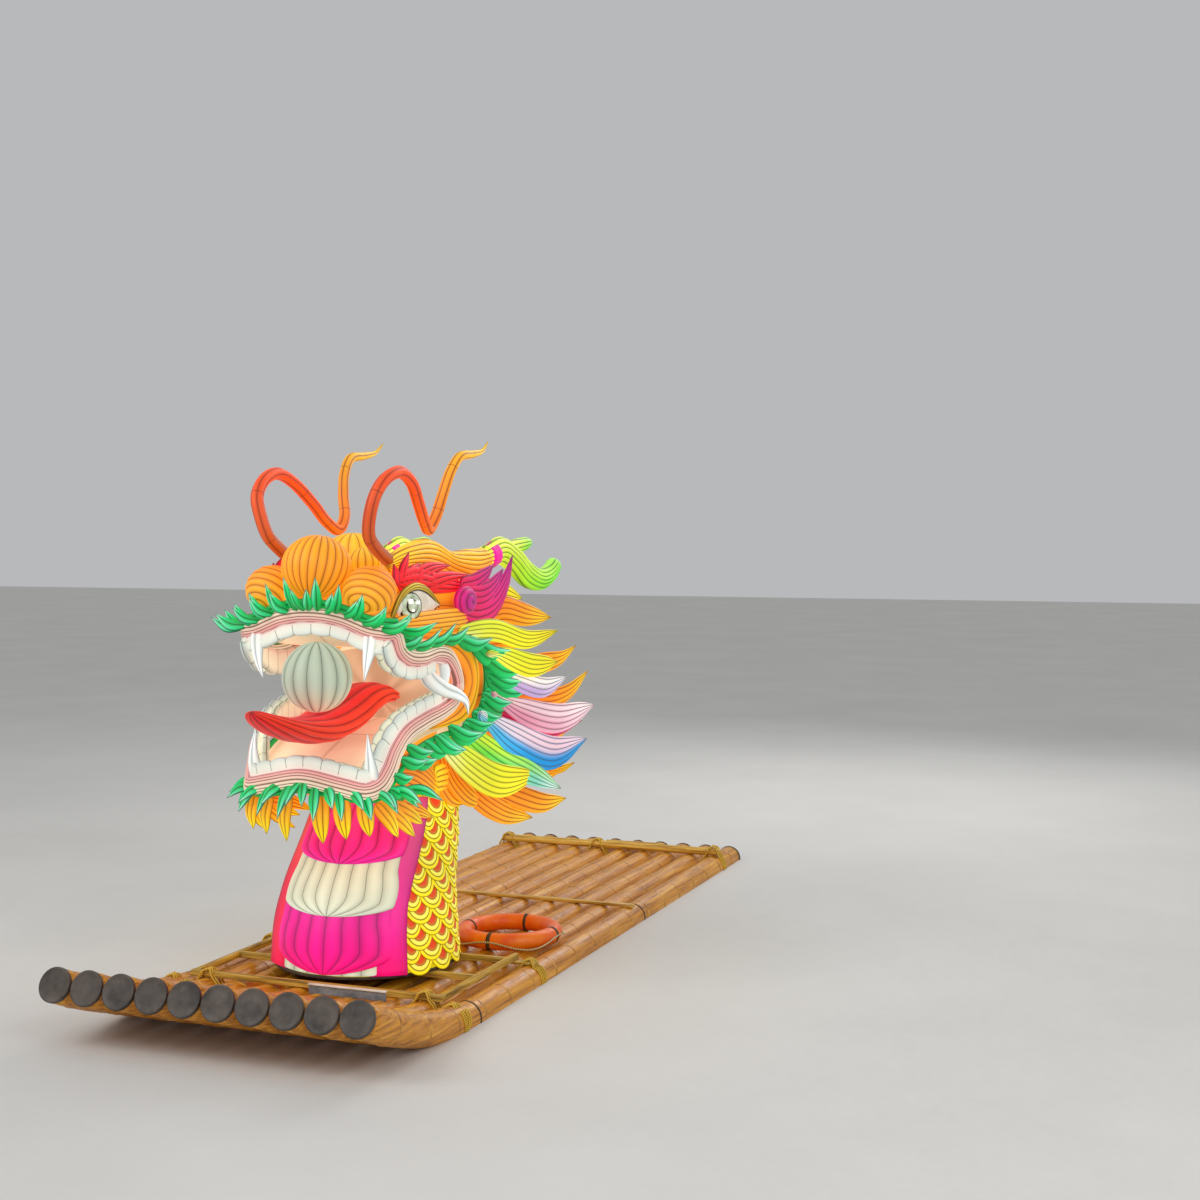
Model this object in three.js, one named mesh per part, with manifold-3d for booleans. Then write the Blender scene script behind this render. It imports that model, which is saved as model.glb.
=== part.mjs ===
// A passenger raft of ten bamboo-look pipes with turned-up bows. It carries a frame of square bars,
// cross poles, a life ring and a dragon-head lantern of silk over wire as its figurehead.
// Millimetres. +Z is up, the bow and the dragon look along -Y, and the dragon's left side is +X.
// The origin is under the middle of the raft, at the bottom of the pipes.

import * as THREE from 'three';
import { mergeVertices } from 'three/addons/utils/BufferGeometryUtils.js';
import Module from 'manifold-3d';

const wasm = await Module();
wasm.setup();

// Pipes
const PIPES = 10;
const PIPE_RADIUS = 100;
const PIPE_PITCH = 213;
const STERN_Y = 3394;
const BOW_Y = -3353;
const BOW_RISE = 352;
const BEND_LENGTH = 1550;
const DECK_Z = 2 * PIPE_RADIUS;

// Gap kept between touching pieces, and how far a neighbour is grown before it cuts a piece
const GAP = 0.3;
const GROW = 0.6;

// Deck frame of square bars, held level on the rising bows and on a cross batten
const BAR = 38;
const FRAME_HALF = 850;
const FRAME_FRONT_Y = -2140;
const FRAME_MID_Y = -1645;
const FRAME_BACK_Y = -1180;
const BATTEN_Y = -1075;
const BATTEN_WIDTH = 62;
const BATTEN_THICKNESS = 21.4;
const BATTEN_HALF = 1000;
const POLE_RADIUS = 32;
const POLE_MID_Y = 755;
const POLE_STERN_Y = 2920;
const POLE_HALF = 1010;

// Life ring lying on the pipes
const RING_RADIUS = 305;
const RING_TUBE = 56;
const RING_X = 560;
const RING_Y = -500;

// Lantern neck, as circles on a line that leans back: height, middle, radius
const PLINTH_RADIUS = 585;
const PLINTH_HEIGHT = 15;
const NECK_Y = -1483;
const NECK_RINGS = [
  { z: 276, y: -1483, r: 572 },
  { z: 550, y: -1473, r: 552 },
  { z: 770, y: -1413, r: 520 },
  { z: 1060, y: -1263, r: 470 },
  { z: 1330, y: -1150, r: 420 },
];
const PLATE_THICKNESS = 18;

const palette = {
  pipe: [0xc07a2c, 0.45],
  plank: [0xb98f4e, 0.8],
  ring: [0xe2541b, 0.6],
  plinth: [0x4a3a2c, 0.8],
  scale: [0xe9b43c, 0.6],
  belly: [0xd46a8a, 0.6],
  lining: [0xf0b48c, 0.6],
  skin: [0xe8912f, 0.6],
  lip: [0xf3dcc6, 0.6],
  tooth: [0xe9f1e2, 0.5],
  tongue: [0xc8261e, 0.6],
  pearl: [0xc9d8cb, 0.3],
  green: [0x2c9a58, 0.6],
  mane: [0xee8a3c, 0.6],
  feeler: [0xe0521f, 0.6],
  horn: [0x9fc23c, 0.6],
  flame: [0xcc2a20, 0.6],
  eye: [0xdfe8dd, 0.3],
};

const v3 = (x, y, z) => new THREE.Vector3(x, y, z);
const TAU = 2 * Math.PI;

// A solid from a closed mesh, turned inside out first if its volume is negative.
function solid(geometry) {
  const bare = geometry.clone();
  bare.deleteAttribute('normal');
  bare.deleteAttribute('uv');
  const merged = mergeVertices(bare, 1e-3);
  const position = merged.attributes.position.array;
  const index = Uint32Array.from(merged.index.array);
  const corner = (i) => v3(...position.slice(3 * i, 3 * i + 3));
  let volume = 0;
  for (let i = 0; i < index.length; i += 3) {
    volume += corner(index[i]).dot(corner(index[i + 1]).cross(corner(index[i + 2])));
  }
  if (volume < 0) {
    for (let i = 0; i < index.length; i += 3) {
      [index[i], index[i + 1]] = [index[i + 1], index[i]];
    }
  }
  return new wasm.Manifold(new wasm.Mesh({
    numProp: 3, vertProperties: Float32Array.from(position), triVerts: index,
  }));
}

// A BufferGeometry from a solid.
function skin(body) {
  const mesh = body.getMesh();
  const geometry = new THREE.BufferGeometry();
  const count = mesh.vertProperties.length / mesh.numProp;
  const position = new Float32Array(3 * count);
  for (let i = 0; i < count; i += 1) {
    for (let axis = 0; axis < 3; axis += 1) {
      position[3 * i + axis] = mesh.vertProperties[mesh.numProp * i + axis];
    }
  }
  geometry.setAttribute('position', new THREE.BufferAttribute(position, 3));
  geometry.setIndex(new THREE.BufferAttribute(Uint32Array.from(mesh.triVerts), 1));
  geometry.computeVertexNormals();
  return geometry;
}

// A solid whose corners have moved out along their normals.
function grown(body, by = GROW) {
  const geometry = skin(body);
  const position = geometry.attributes.position;
  const normal = geometry.attributes.normal;
  for (let i = 0; i < position.count; i += 1) {
    position.setXYZ(
      i,
      position.getX(i) + by * normal.getX(i),
      position.getY(i) + by * normal.getY(i),
      position.getZ(i) + by * normal.getZ(i),
    );
  }
  return solid(geometry);
}

// The largest single body of a solid.
function largest(body) {
  const parts = body.decompose();
  return parts.reduce((best, part) => (part.volume() > best.volume() ? part : best), parts[0]);
}

const join = (bodies) => bodies.reduce((whole, body) => whole.add(body));
const carve = (body, neighbours) => largest(
  neighbours.reduce((rest, neighbour) => rest.subtract(grown(neighbour)).subtract(neighbour), body),
);

// The mirror image across the raft's middle plane.
function mirrored(body) {
  const geometry = skin(body);
  geometry.scale(-1, 1, 1);
  return solid(geometry);
}

const moved = (geometry, x, y, z) => solid(geometry.translate(x, y, z));
const box = (x, y, z, sx, sy, sz) => moved(new THREE.BoxGeometry(sx, sy, sz), x, y, z);

// A closed body through a row of rings of equal point count, with a flat fan over each end.
function loft(rings) {
  const sides = rings[0].length;
  const points = rings.flat();
  const middle = (ring) => ring.reduce((sum, p) => sum.add(p), v3(0, 0, 0)).divideScalar(sides);
  const first = points.push(middle(rings[0])) - 1;
  const last = points.push(middle(rings.at(-1))) - 1;
  const index = [];
  const end = (rings.length - 1) * sides;
  for (let i = 0; i < sides; i += 1) {
    const j = (i + 1) % sides;
    index.push(first, j, i, last, end + i, end + j);
    for (let row = 0; row < end; row += sides) {
      index.push(row + i, row + j, row + sides + j, row + i, row + sides + j, row + sides + i);
    }
  }
  const geometry = new THREE.BufferGeometry();
  geometry.setAttribute('position', new THREE.Float32BufferAttribute(points.flatMap((p) => [p.x, p.y, p.z]), 3));
  geometry.setIndex(index);
  return solid(geometry);
}

// A ring of points round a middle, spanned by two half-axes. Power 2 is an ellipse, more is squarer.
function ringAt(middle, a, b, sides, power = 2) {
  return Array.from({ length: sides }, (_, i) => {
    const turn = (TAU * i) / sides;
    const c = Math.cos(turn);
    const s = Math.sin(turn);
    const ca = Math.sign(c) * Math.abs(c) ** (2 / power);
    const sb = Math.sign(s) * Math.abs(s) ** (2 / power);
    return middle.clone().addScaledVector(a, ca).addScaledVector(b, sb);
  });
}

// A value read off a short row of evenly spread numbers.
function along(row, t) {
  const place = t * (row.length - 1);
  const i = Math.min(Math.floor(place), Math.max(0, row.length - 2));
  const next = row[i + 1] ?? row[i];
  return row[i] + (next - row[i]) * (place - i);
}

// A bar swept along a smooth curve. Its thickness lies along the way it faces, and its width across.
function sweep(points, widths, thicknesses, { facing = () => v3(1, 0, 0), steps = 8, sides = 8 } = {}) {
  const curve = new THREE.CatmullRomCurve3(points.map((p) => v3(...p)));
  const rings = [];
  for (let i = 0; i <= steps; i += 1) {
    const t = i / steps;
    const tangent = curve.getTangentAt(t);
    const across = v3(0, 0, 0).crossVectors(tangent, facing(curve.getPointAt(t))).normalize();
    const out = v3(0, 0, 0).crossVectors(across, tangent).normalize();
    across.multiplyScalar(along(widths, t) / 2);
    out.multiplyScalar(along(thicknesses, t) / 2);
    rings.push(ringAt(curve.getPointAt(t), across, out, sides));
  }
  return loft(rings);
}

// A stretched ball.
function bulb([x, y, z], [rx, ry, rz], segments = 12) {
  const ball = new THREE.SphereGeometry(1, segments, Math.round(segments * 0.7));
  return moved(ball.scale(rx, ry, rz), x, y, z);
}

const parts = {};
const finish = {};
// Keeps a piece, cut clear of the pieces named after it.
function keep(name, material, body, neighbours = []) {
  parts[name] = carve(body, neighbours.map((other) => parts[other]));
  finish[name] = material;
}
// Keeps a piece on each side. A neighbour whose name ends in _l is its _r twin on the right.
function keepPair(name, material, body, neighbours = []) {
  keep(`${name}_l`, material, body, neighbours);
  keep(`${name}_r`, material, mirrored(body), neighbours.map((other) => other.replace(/_l$/, '_r')));
}

// Raft

function makePipe(x) {
  const steps = 6;
  const path = [v3(x, STERN_Y, PIPE_RADIUS)];
  for (let i = 0; i <= steps; i += 1) {
    const s = i / steps;
    path.push(v3(x, BOW_Y + BEND_LENGTH * (1 - s), PIPE_RADIUS + BOW_RISE * s * s));
  }
  const rings = path.map((p, i) => {
    const s = Math.max(0, (i - 1) / steps);
    const slope = (2 * BOW_RISE * s) / BEND_LENGTH;
    const up = v3(0, slope, 1).normalize().multiplyScalar(PIPE_RADIUS);
    return ringAt(p, v3(PIPE_RADIUS, 0, 0), up, 12);
  });
  return loft(rings);
}
for (let i = 0; i < PIPES; i += 1) {
  keep(`pipe_${String(i + 1).padStart(2, '0')}`, 'pipe', makePipe((i - (PIPES - 1) / 2) * PIPE_PITCH));
}

const frameBottom = DECK_Z + BATTEN_THICKNESS + 2 * GAP;
const frameZ = frameBottom + BAR / 2;
const bar = (x, y, sx, sy) => box(x, y, frameZ, sx, sy, BAR);
function pole(y, half) {
  const rod = new THREE.CylinderGeometry(POLE_RADIUS, POLE_RADIUS, 2 * half, 14).rotateZ(Math.PI / 2);
  return moved(rod, 0, y, DECK_Z + GAP + POLE_RADIUS);
}
const sideFront = FRAME_FRONT_Y + BAR / 2 + GAP;
const sideBack = BATTEN_Y + BATTEN_WIDTH / 2;
const innerSpan = 2 * FRAME_HALF - BAR - 2 * GAP;
keep('frame_bar_front', 'plank', bar(0, FRAME_FRONT_Y, 2 * FRAME_HALF + BAR, BAR));
keep('frame_bar_mid', 'plank', bar(0, FRAME_MID_Y, innerSpan, BAR));
keep('frame_bar_back', 'plank', bar(0, FRAME_BACK_Y, innerSpan, BAR));
keepPair('frame_bar_side', 'plank', bar(FRAME_HALF, (sideFront + sideBack) / 2, BAR, sideBack - sideFront));
const battenZ = DECK_Z + GAP + BATTEN_THICKNESS / 2;
keep('cross_batten', 'plank', box(0, BATTEN_Y, battenZ, 2 * BATTEN_HALF, BATTEN_WIDTH, BATTEN_THICKNESS));
keep('cross_pole_mid', 'plank', pole(POLE_MID_Y, POLE_HALF));
keep('cross_pole_stern', 'plank', pole(POLE_STERN_Y, POLE_HALF));

const ringProfile = Array.from({ length: 9 }, (_, i) => {
  const turn = (TAU * i) / 8;
  return new THREE.Vector2(RING_RADIUS + RING_TUBE * Math.cos(turn), RING_TUBE * Math.sin(turn));
});
const ringBody = new THREE.LatheGeometry(ringProfile, 24).rotateX(Math.PI / 2);
keep('life_ring', 'ring', moved(ringBody, RING_X, RING_Y, DECK_Z + GAP + RING_TUBE));

// Neck

const plinthZ = frameBottom + BAR + GAP;
const plinthDisc = new THREE.CylinderGeometry(PLINTH_RADIUS, PLINTH_RADIUS, PLINTH_HEIGHT, 32);
keep('plinth', 'plinth', moved(plinthDisc.rotateX(Math.PI / 2), 0, NECK_Y, plinthZ + PLINTH_HEIGHT / 2));

const neckCore = loft(NECK_RINGS.map(({ z, y, r }) => ringAt(v3(0, y, z), v3(r, 0, 0), v3(0, r, 0), 24)));

// One curved plate on the front of the neck, from one height to another, across an angle each way.
const PLATES = [
  { low: 282, high: 352, spread: 48, finish: 'tooth' },
  { low: 354, high: 622, spread: 46, finish: 'belly' },
  { low: 624, high: 872, spread: 43, finish: 'tooth' },
  { low: 874, high: 1285, spread: 42, finish: 'belly' },
];
function neckRing(z) {
  const after = Math.max(1, NECK_RINGS.findIndex((ring) => ring.z >= z));
  const [a, b] = [NECK_RINGS[after - 1], NECK_RINGS[after]];
  const t = (z - a.z) / (b.z - a.z);
  return { y: a.y + t * (b.y - a.y), r: a.r + t * (b.r - a.r) };
}
function makePlate({ low, high, spread }) {
  const columns = 8;
  const rings = [];
  for (let i = 0; i <= columns; i += 1) {
    const turn = THREE.MathUtils.degToRad(spread * ((2 * i) / columns - 1));
    const at = (z, out) => {
      const { y, r } = neckRing(z);
      return v3((r + out) * Math.sin(turn), y - (r + out) * Math.cos(turn), z);
    };
    rings.push([
      at(low, PLATE_THICKNESS), at(high, PLATE_THICKNESS), at(high, -PLATE_THICKNESS), at(low, -PLATE_THICKNESS),
    ]);
  }
  return loft(rings);
}

// Head core: skull over the mouth, throat behind it, jaw under it

// Sections of a squarish body that runs along Y.
function blockLoft(sections, power = 3, sides = 20) {
  return loft(sections.map(({ y, half, low, high }) => (
    ringAt(v3(0, y, (low + high) / 2), v3(half, 0, 0), v3(0, 0, (high - low) / 2), sides, power)
  )));
}
const SKULL = [
  { y: -2120, half: 420, low: 2400, high: 2560 },
  { y: -1950, half: 450, low: 2300, high: 2700 },
  { y: -1500, half: 465, low: 2250, high: 2790 },
  { y: -1000, half: 465, low: 2200, high: 2790 },
  { y: -700, half: 430, low: 2220, high: 2740 },
  { y: -520, half: 300, low: 2280, high: 2640 },
];
const THROAT = [
  { y: -1290, half: 430, low: 1560, high: 2230 },
  { y: -1000, half: 480, low: 1330, high: 2330 },
  { y: -720, half: 460, low: 1360, high: 2330 },
  { y: -520, half: 320, low: 1500, high: 2270 },
];
const JAW = [
  { y: -2175, half: 380, low: 1410, high: 1530 },
  { y: -1980, half: 430, low: 1360, high: 1620 },
  { y: -1650, half: 455, low: 1330, high: 1730 },
  { y: -1200, half: 450, low: 1320, high: 1780 },
];
keep('skull', 'skin', blockLoft(SKULL));
keep('throat', 'lining', blockLoft(THROAT, 3.6), ['skull']);
keep('lower_jaw', 'skin', blockLoft(JAW), ['throat']);
keep('neck', 'scale', neckCore, ['plinth', 'throat', 'lower_jaw']);
PLATES.forEach((row, i) => keep(`belly_plate_${i + 1}`, row.finish, makePlate(row), ['neck']));

// Mouth

const LIP_HEIGHT = 106;
const LIP_DEPTH = 78;
const UPPER_LIP = [
  [0, -2160, 2500], [210, -2152, 2475], [390, -2128, 2405], [462, -2110, 2392], [502, -2060, 2385],
  [506, -1990, 2285], [506, -1880, 2232], [506, -1700, 2215], [506, -1490, 2232], [506, -1330, 2198],
  [506, -1225, 2105], [506, -1188, 2015],
];
const LOWER_LIP = [
  [506, -1192, 1975], [506, -1245, 1900], [506, -1410, 1848], [500, -1670, 1805], [490, -1885, 1748],
  [480, -2000, 1655], [468, -2055, 1555], [445, -2125, 1470], [395, -2205, 1440], [250, -2235, 1468],
  [0, -2258, 1512],
];
const flipped = (points) => points.map(([x, y, z]) => [-x, y, z]).reverse();
// Out of the face: forwards at the front of the mouth, sideways along its sides.
function outOfFace(p) {
  const side = Math.min(1, Math.abs(p.x) / 500) ** 4;
  return v3(Math.sign(p.x) * side, side - 1, 0);
}
const lip = (path) => sweep(
  path, [LIP_HEIGHT], [LIP_DEPTH], { steps: 34, sides: 8, facing: outOfFace },
);
const upperLip = lip([...flipped(UPPER_LIP), ...UPPER_LIP.slice(1)]);
const lowerLip = lip([...LOWER_LIP, ...flipped(LOWER_LIP).slice(1)]);
keep('upper_lip', 'lip', upperLip, ['skull', 'throat']);
keep('lower_lip', 'lip', lowerLip, ['lower_jaw', 'throat', 'upper_lip']);

// A cone with a blunt tip, from a root to a tip.
function spike(root, tip, radius, sides = 5) {
  const middle = root.map((value, axis) => (value + tip[axis]) / 2);
  const size = [2 * radius, 1.5 * radius, 6];
  return sweep([root, middle, tip], size, size, { steps: 2, sides, facing: () => v3(0.1, 1, 0.2) });
}

// A gum bar round the front of a jaw with a row of blunt teeth and a fang at each end.
function teeth({ gumZ, tipZ, y, count, span, fangRoot, fangTip }) {
  const forwards = { facing: () => v3(0, 1, 0) };
  const row = [[-390, y + 45, gumZ - 20], [-220, y, gumZ], [0, y - 10, gumZ + 15]];
  const gum = sweep([...row, ...flipped(row).slice(1)], [62], [50], { steps: 8, ...forwards });
  const blunt = Array.from({ length: count }, (_, i) => {
    const x = span * ((2 * i) / (count - 1) - 1);
    const lift = 30 * (1 - (x / span) ** 2);
    const [root, tip] = [gumZ + lift - 15, tipZ + lift];
    return sweep([[x, y, root], [x, y - 5, (root + tip) / 2], [x, y, tip]], [88, 84, 54], [40, 38, 24], {
      steps: 1, sides: 6, ...forwards,
    });
  });
  const fangs = [-1, 1].map((side) => {
    const place = ([x, ...rest]) => [side * x, ...rest];
    return spike(place(fangRoot), place(fangTip), 46);
  });
  return join([gum, ...blunt, ...fangs]);
}
const UPPER_TEETH = {
  gumZ: 2405, tipZ: 2290, y: -2092, count: 6, span: 270, fangRoot: [385, -2085, 2385], fangTip: [352, -2130, 2100],
};
const LOWER_TEETH = {
  gumZ: 1505, tipZ: 1600, y: -2165, count: 6, span: 280, fangRoot: [395, -2120, 1480], fangTip: [392, -2160, 1765],
};
keep('upper_teeth', 'tooth', teeth(UPPER_TEETH), ['upper_lip', 'skull']);
keep('lower_teeth', 'tooth', teeth(LOWER_TEETH), ['lower_lip', 'lower_jaw']);

const PEARL_RADIUS = 214;
const PEARL = [0, -2085, 2106];
const TONGUE = [
  [0, -1200, 1905], [0, -1400, 1945], [0, -1600, 1925], [0, -1850, 1855], [0, -2085, 1815], [-20, -2330, 1824],
  [-35, -2560, 1882], [-45, -2745, 1958],
];
const tongue = sweep(TONGUE, [250, 340, 400, 420, 410, 390, 300, 100], [70, 150, 180, 190, 180, 150, 100, 36], {
  steps: 16, sides: 10, facing: () => v3(0, 0, 1),
});
keep('pearl', 'pearl', bulb(PEARL, [PEARL_RADIUS, PEARL_RADIUS, PEARL_RADIUS], 14), ['upper_teeth']);
keep('tongue', 'tongue', tongue, ['throat', 'pearl', 'lower_jaw']);

// Face, made on the dragon's left and mirrored

keep('nose', 'skin', bulb([0, -2085, 2765], [215, 205, 200], 14), ['skull', 'upper_lip']);
keepPair('nostril', 'skin', bulb([335, -2040, 2630], [160, 175, 150]), ['skull', 'nose', 'upper_lip']);
const forehead = join([
  bulb([0, -1640, 2850], [180, 130, 120], 10),
  bulb([125, -1740, 2790], [115, 105, 90], 8),
  bulb([-125, -1740, 2790], [115, 105, 90], 8),
]);
keep('forehead', 'skin', forehead, ['skull', 'nose', 'nostril_l', 'nostril_r']);

// A rolled form whose height changes along it. Rows give its middle line and its height there.
const roll = (rows, depth, steps, sides = 8) => sweep(
  rows.map(({ at }) => at), rows.map(({ high }) => high), rows.map(({ high }) => Math.min(high, depth)),
  { steps, sides },
);
const BROW = [
  { at: [345, -1810, 2770], high: 80 }, { at: [345, -1600, 2815], high: 170 },
  { at: [335, -1250, 2825], high: 215 }, { at: [345, -960, 2765], high: 165 },
  { at: [365, -700, 2758], high: 220 }, { at: [378, -500, 2800], high: 150 },
];
const HORN = [
  { at: [378, -540, 2810], high: 150 }, { at: [388, -260, 2852], high: 195 },
  { at: [400, -55, 2788], high: 205 }, { at: [425, 110, 2682], high: 190 },
  { at: [450, 290, 2630], high: 145 }, { at: [466, 455, 2680], high: 120 },
  { at: [478, 555, 2778], high: 60 },
];
const HORN_BRANCH = [
  { at: [388, -140, 2852], high: 120 }, { at: [395, 60, 2885], high: 95 }, { at: [400, 258, 2915], high: 44 },
];
keepPair('brow', 'skin', roll(BROW, 150, 12), ['skull', 'nose', 'nostril_l', 'forehead']);
const horn = join([roll(HORN, 120, 12, 6), roll(HORN_BRANCH, 80, 4, 6)]);
keepPair('horn', 'horn', horn, ['skull', 'brow_l']);

// Feelers: up and forwards, over in an arch, down to a bend on the brow, then up and back
const FEELER = [
  [330, -1740, 2790], [340, -1960, 2890], [365, -2100, 3070], [410, -2060, 3250], [425, -1830, 3345],
  [405, -1600, 3270], [350, -1360, 3060], [332, -1230, 3000], [345, -1130, 3110], [385, -1050, 3350],
  [405, -930, 3468], [405, -700, 3500], [402, -560, 3535], [400, -475, 3590],
];
const FEELER_SIZE = [94, 92, 91, 90, 88, 85, 80, 66, 10];
keepPair('feeler', 'feeler', sweep(FEELER, FEELER_SIZE, FEELER_SIZE, { steps: 26, sides: 6 }), [
  'skull', 'brow_l', 'nose', 'nostril_l', 'forehead',
]);

keepPair('eye', 'eye', bulb([415, -1740, 2530], [105, 300, 112]), ['skull', 'upper_lip', 'brow_l', 'nostril_l']);

// A flame-like lock: flat, widest near its root and pointed at its tip.
const LOCK_WIDTHS = [0.6, 1, 0.85, 0.5, 0.07];
const LOCK_THICKNESSES = [1, 1, 0.8, 0.6, 0.2];
const lock = (points, width, thickness, steps = 4) => sweep(
  points, LOCK_WIDTHS.map((share) => share * width), LOCK_THICKNESSES.map((share) => share * thickness),
  { steps, sides: 5 },
);
const FLAME_LOCKS = [
  { path: [[440, -1885, 2690], [450, -1640, 2695], [465, -1290, 2660], [500, -800, 2615]], width: 125 },
  { path: [[435, -1870, 2690], [425, -1850, 2740], [415, -1840, 2790]], width: 70 },
  { path: [[440, -1830, 2690], [430, -1740, 2760], [425, -1655, 2840]], width: 90 },
  { path: [[445, -1700, 2690], [450, -1450, 2745], [455, -1190, 2760]], width: 95 },
];
const flame = join(FLAME_LOCKS.map(({ path, width }) => lock(path, width, 46)));
keepPair('eyebrow', 'flame', flame, ['skull', 'brow_l', 'eye_l', 'nostril_l']);

const cheek = bulb([478, -1205, 2020], [62, 355, 285], 14);
keepPair('cheek', 'skin', cheek, ['throat', 'skull', 'lower_jaw', 'upper_lip', 'lower_lip']);

const swirl = join([
  bulb([505, -1060, 2535], [48, 95, 90], 10),
  lock([[505, -1100, 2520], [535, -870, 2530], [565, -640, 2640], [575, -485, 2815]], 190, 56),
  lock([[478, -1960, 2420], [500, -1500, 2430], [520, -1100, 2450], [540, -850, 2410]], 110, 50),
]);
keepPair('temple_swirl', 'belly', swirl, [
  'skull', 'throat', 'eyebrow_l', 'brow_l', 'horn_l', 'eye_l', 'upper_lip', 'nostril_l', 'cheek_l',
]);

// Green leaves that fringe the face: where each starts and ends, and its width
const LEAVES = [
  { root: [500, -2010, 2350], tip: [500, -1770, 2475], width: 56 },
  { root: [515, -1900, 2320], tip: [530, -1690, 2345], width: 70 },
  { root: [515, -1720, 2290], tip: [540, -1520, 2385], width: 70 },
  { root: [525, -1560, 2290], tip: [550, -1290, 2405], width: 76 },
  { root: [540, -1330, 2310], tip: [575, -905, 2325], width: 90 },
  { root: [560, -960, 2235], tip: [605, -575, 2165], width: 100 },
  { root: [570, -880, 2110], tip: [625, -365, 2030], width: 110 },
  { root: [570, -880, 1980], tip: [635, -330, 1895], width: 110 },
  { root: [570, -920, 1870], tip: [625, -570, 1815], width: 90 },
  { root: [565, -1060, 1775], tip: [615, -725, 1745], width: 90 },
  { root: [545, -1280, 1710], tip: [600, -1010, 1670], width: 80 },
  { root: [530, -1560, 1690], tip: [590, -1280, 1590], width: 90 },
  { root: [510, -1840, 1610], tip: [540, -1590, 1530], width: 90 },
  { root: [480, -2020, 1460], tip: [500, -1800, 1400], width: 80 },
];
const LEAF_BAND = [
  [510, -1960, 2325], [515, -1760, 2285], [525, -1540, 2300], [535, -1300, 2315], [550, -1010, 2270],
  [562, -890, 2110], [562, -880, 1960], [560, -970, 1820], [550, -1180, 1725], [525, -1500, 1700],
  [508, -1780, 1650], [488, -2010, 1500], [470, -2060, 1440],
];
const between = (a, b) => a.map((value, axis) => (value + b[axis]) / 2);
const leafBand = sweep(LEAF_BAND, [64], [34], { steps: 16, sides: 5 });
const leaves = LEAVES.map(({ root, tip, width }) => lock([root, between(root, tip), tip], width, 34, 2));
keepPair('cheek_leaves', 'green', join([leafBand, ...leaves]), [
  'skull', 'throat', 'lower_jaw', 'upper_lip', 'lower_lip', 'cheek_l', 'temple_swirl_l', 'eye_l', 'eyebrow_l',
  'nostril_l',
]);

// Moustache: a band of leaves over the upper lip
const MOUSTACHE = [
  [0, -2185, 2560], [210, -2178, 2535], [390, -2150, 2465], [470, -2120, 2450], [520, -2040, 2440],
];
const MOUSTACHE_LEAVES = [
  { root: [60, -2190, 2570], tip: [70, -2310, 2650] }, { root: [180, -2185, 2555], tip: [215, -2320, 2640] },
  { root: [310, -2170, 2510], tip: [360, -2310, 2605] }, { root: [420, -2145, 2470], tip: [480, -2260, 2545] },
  { root: [500, -2070, 2460], tip: [600, -2110, 2590] },
];
const moustacheBand = sweep([...flipped(MOUSTACHE), ...MOUSTACHE.slice(1)], [50], [46], {
  steps: 16, sides: 5, facing: outOfFace,
});
const moustacheLeaves = MOUSTACHE_LEAVES.flatMap(({ root, tip }) => [1, -1].map((side) => (
  spike([side * root[0], ...root.slice(1)], [side * tip[0], ...tip.slice(1)], 32)
)));
keep('moustache', 'green', join([moustacheBand, ...moustacheLeaves]), [
  'skull', 'upper_lip', 'nose', 'nostril_l', 'nostril_r', 'cheek_leaves_l', 'cheek_leaves_r',
]);

const TUSK = [
  [455, -1500, 2130], [480, -1520, 2050], [540, -1450, 1990], [585, -1330, 1945], [612, -1240, 1880],
  [618, -1225, 1815],
];
const tusk = sweep(TUSK, [96, 92, 80, 66, 46, 10], [96, 92, 80, 66, 46, 10], { steps: 8, sides: 6 });
keepPair('tusk', 'tooth', tusk, ['upper_lip', 'lower_lip', 'cheek_l', 'cheek_leaves_l', 'throat']);

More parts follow.
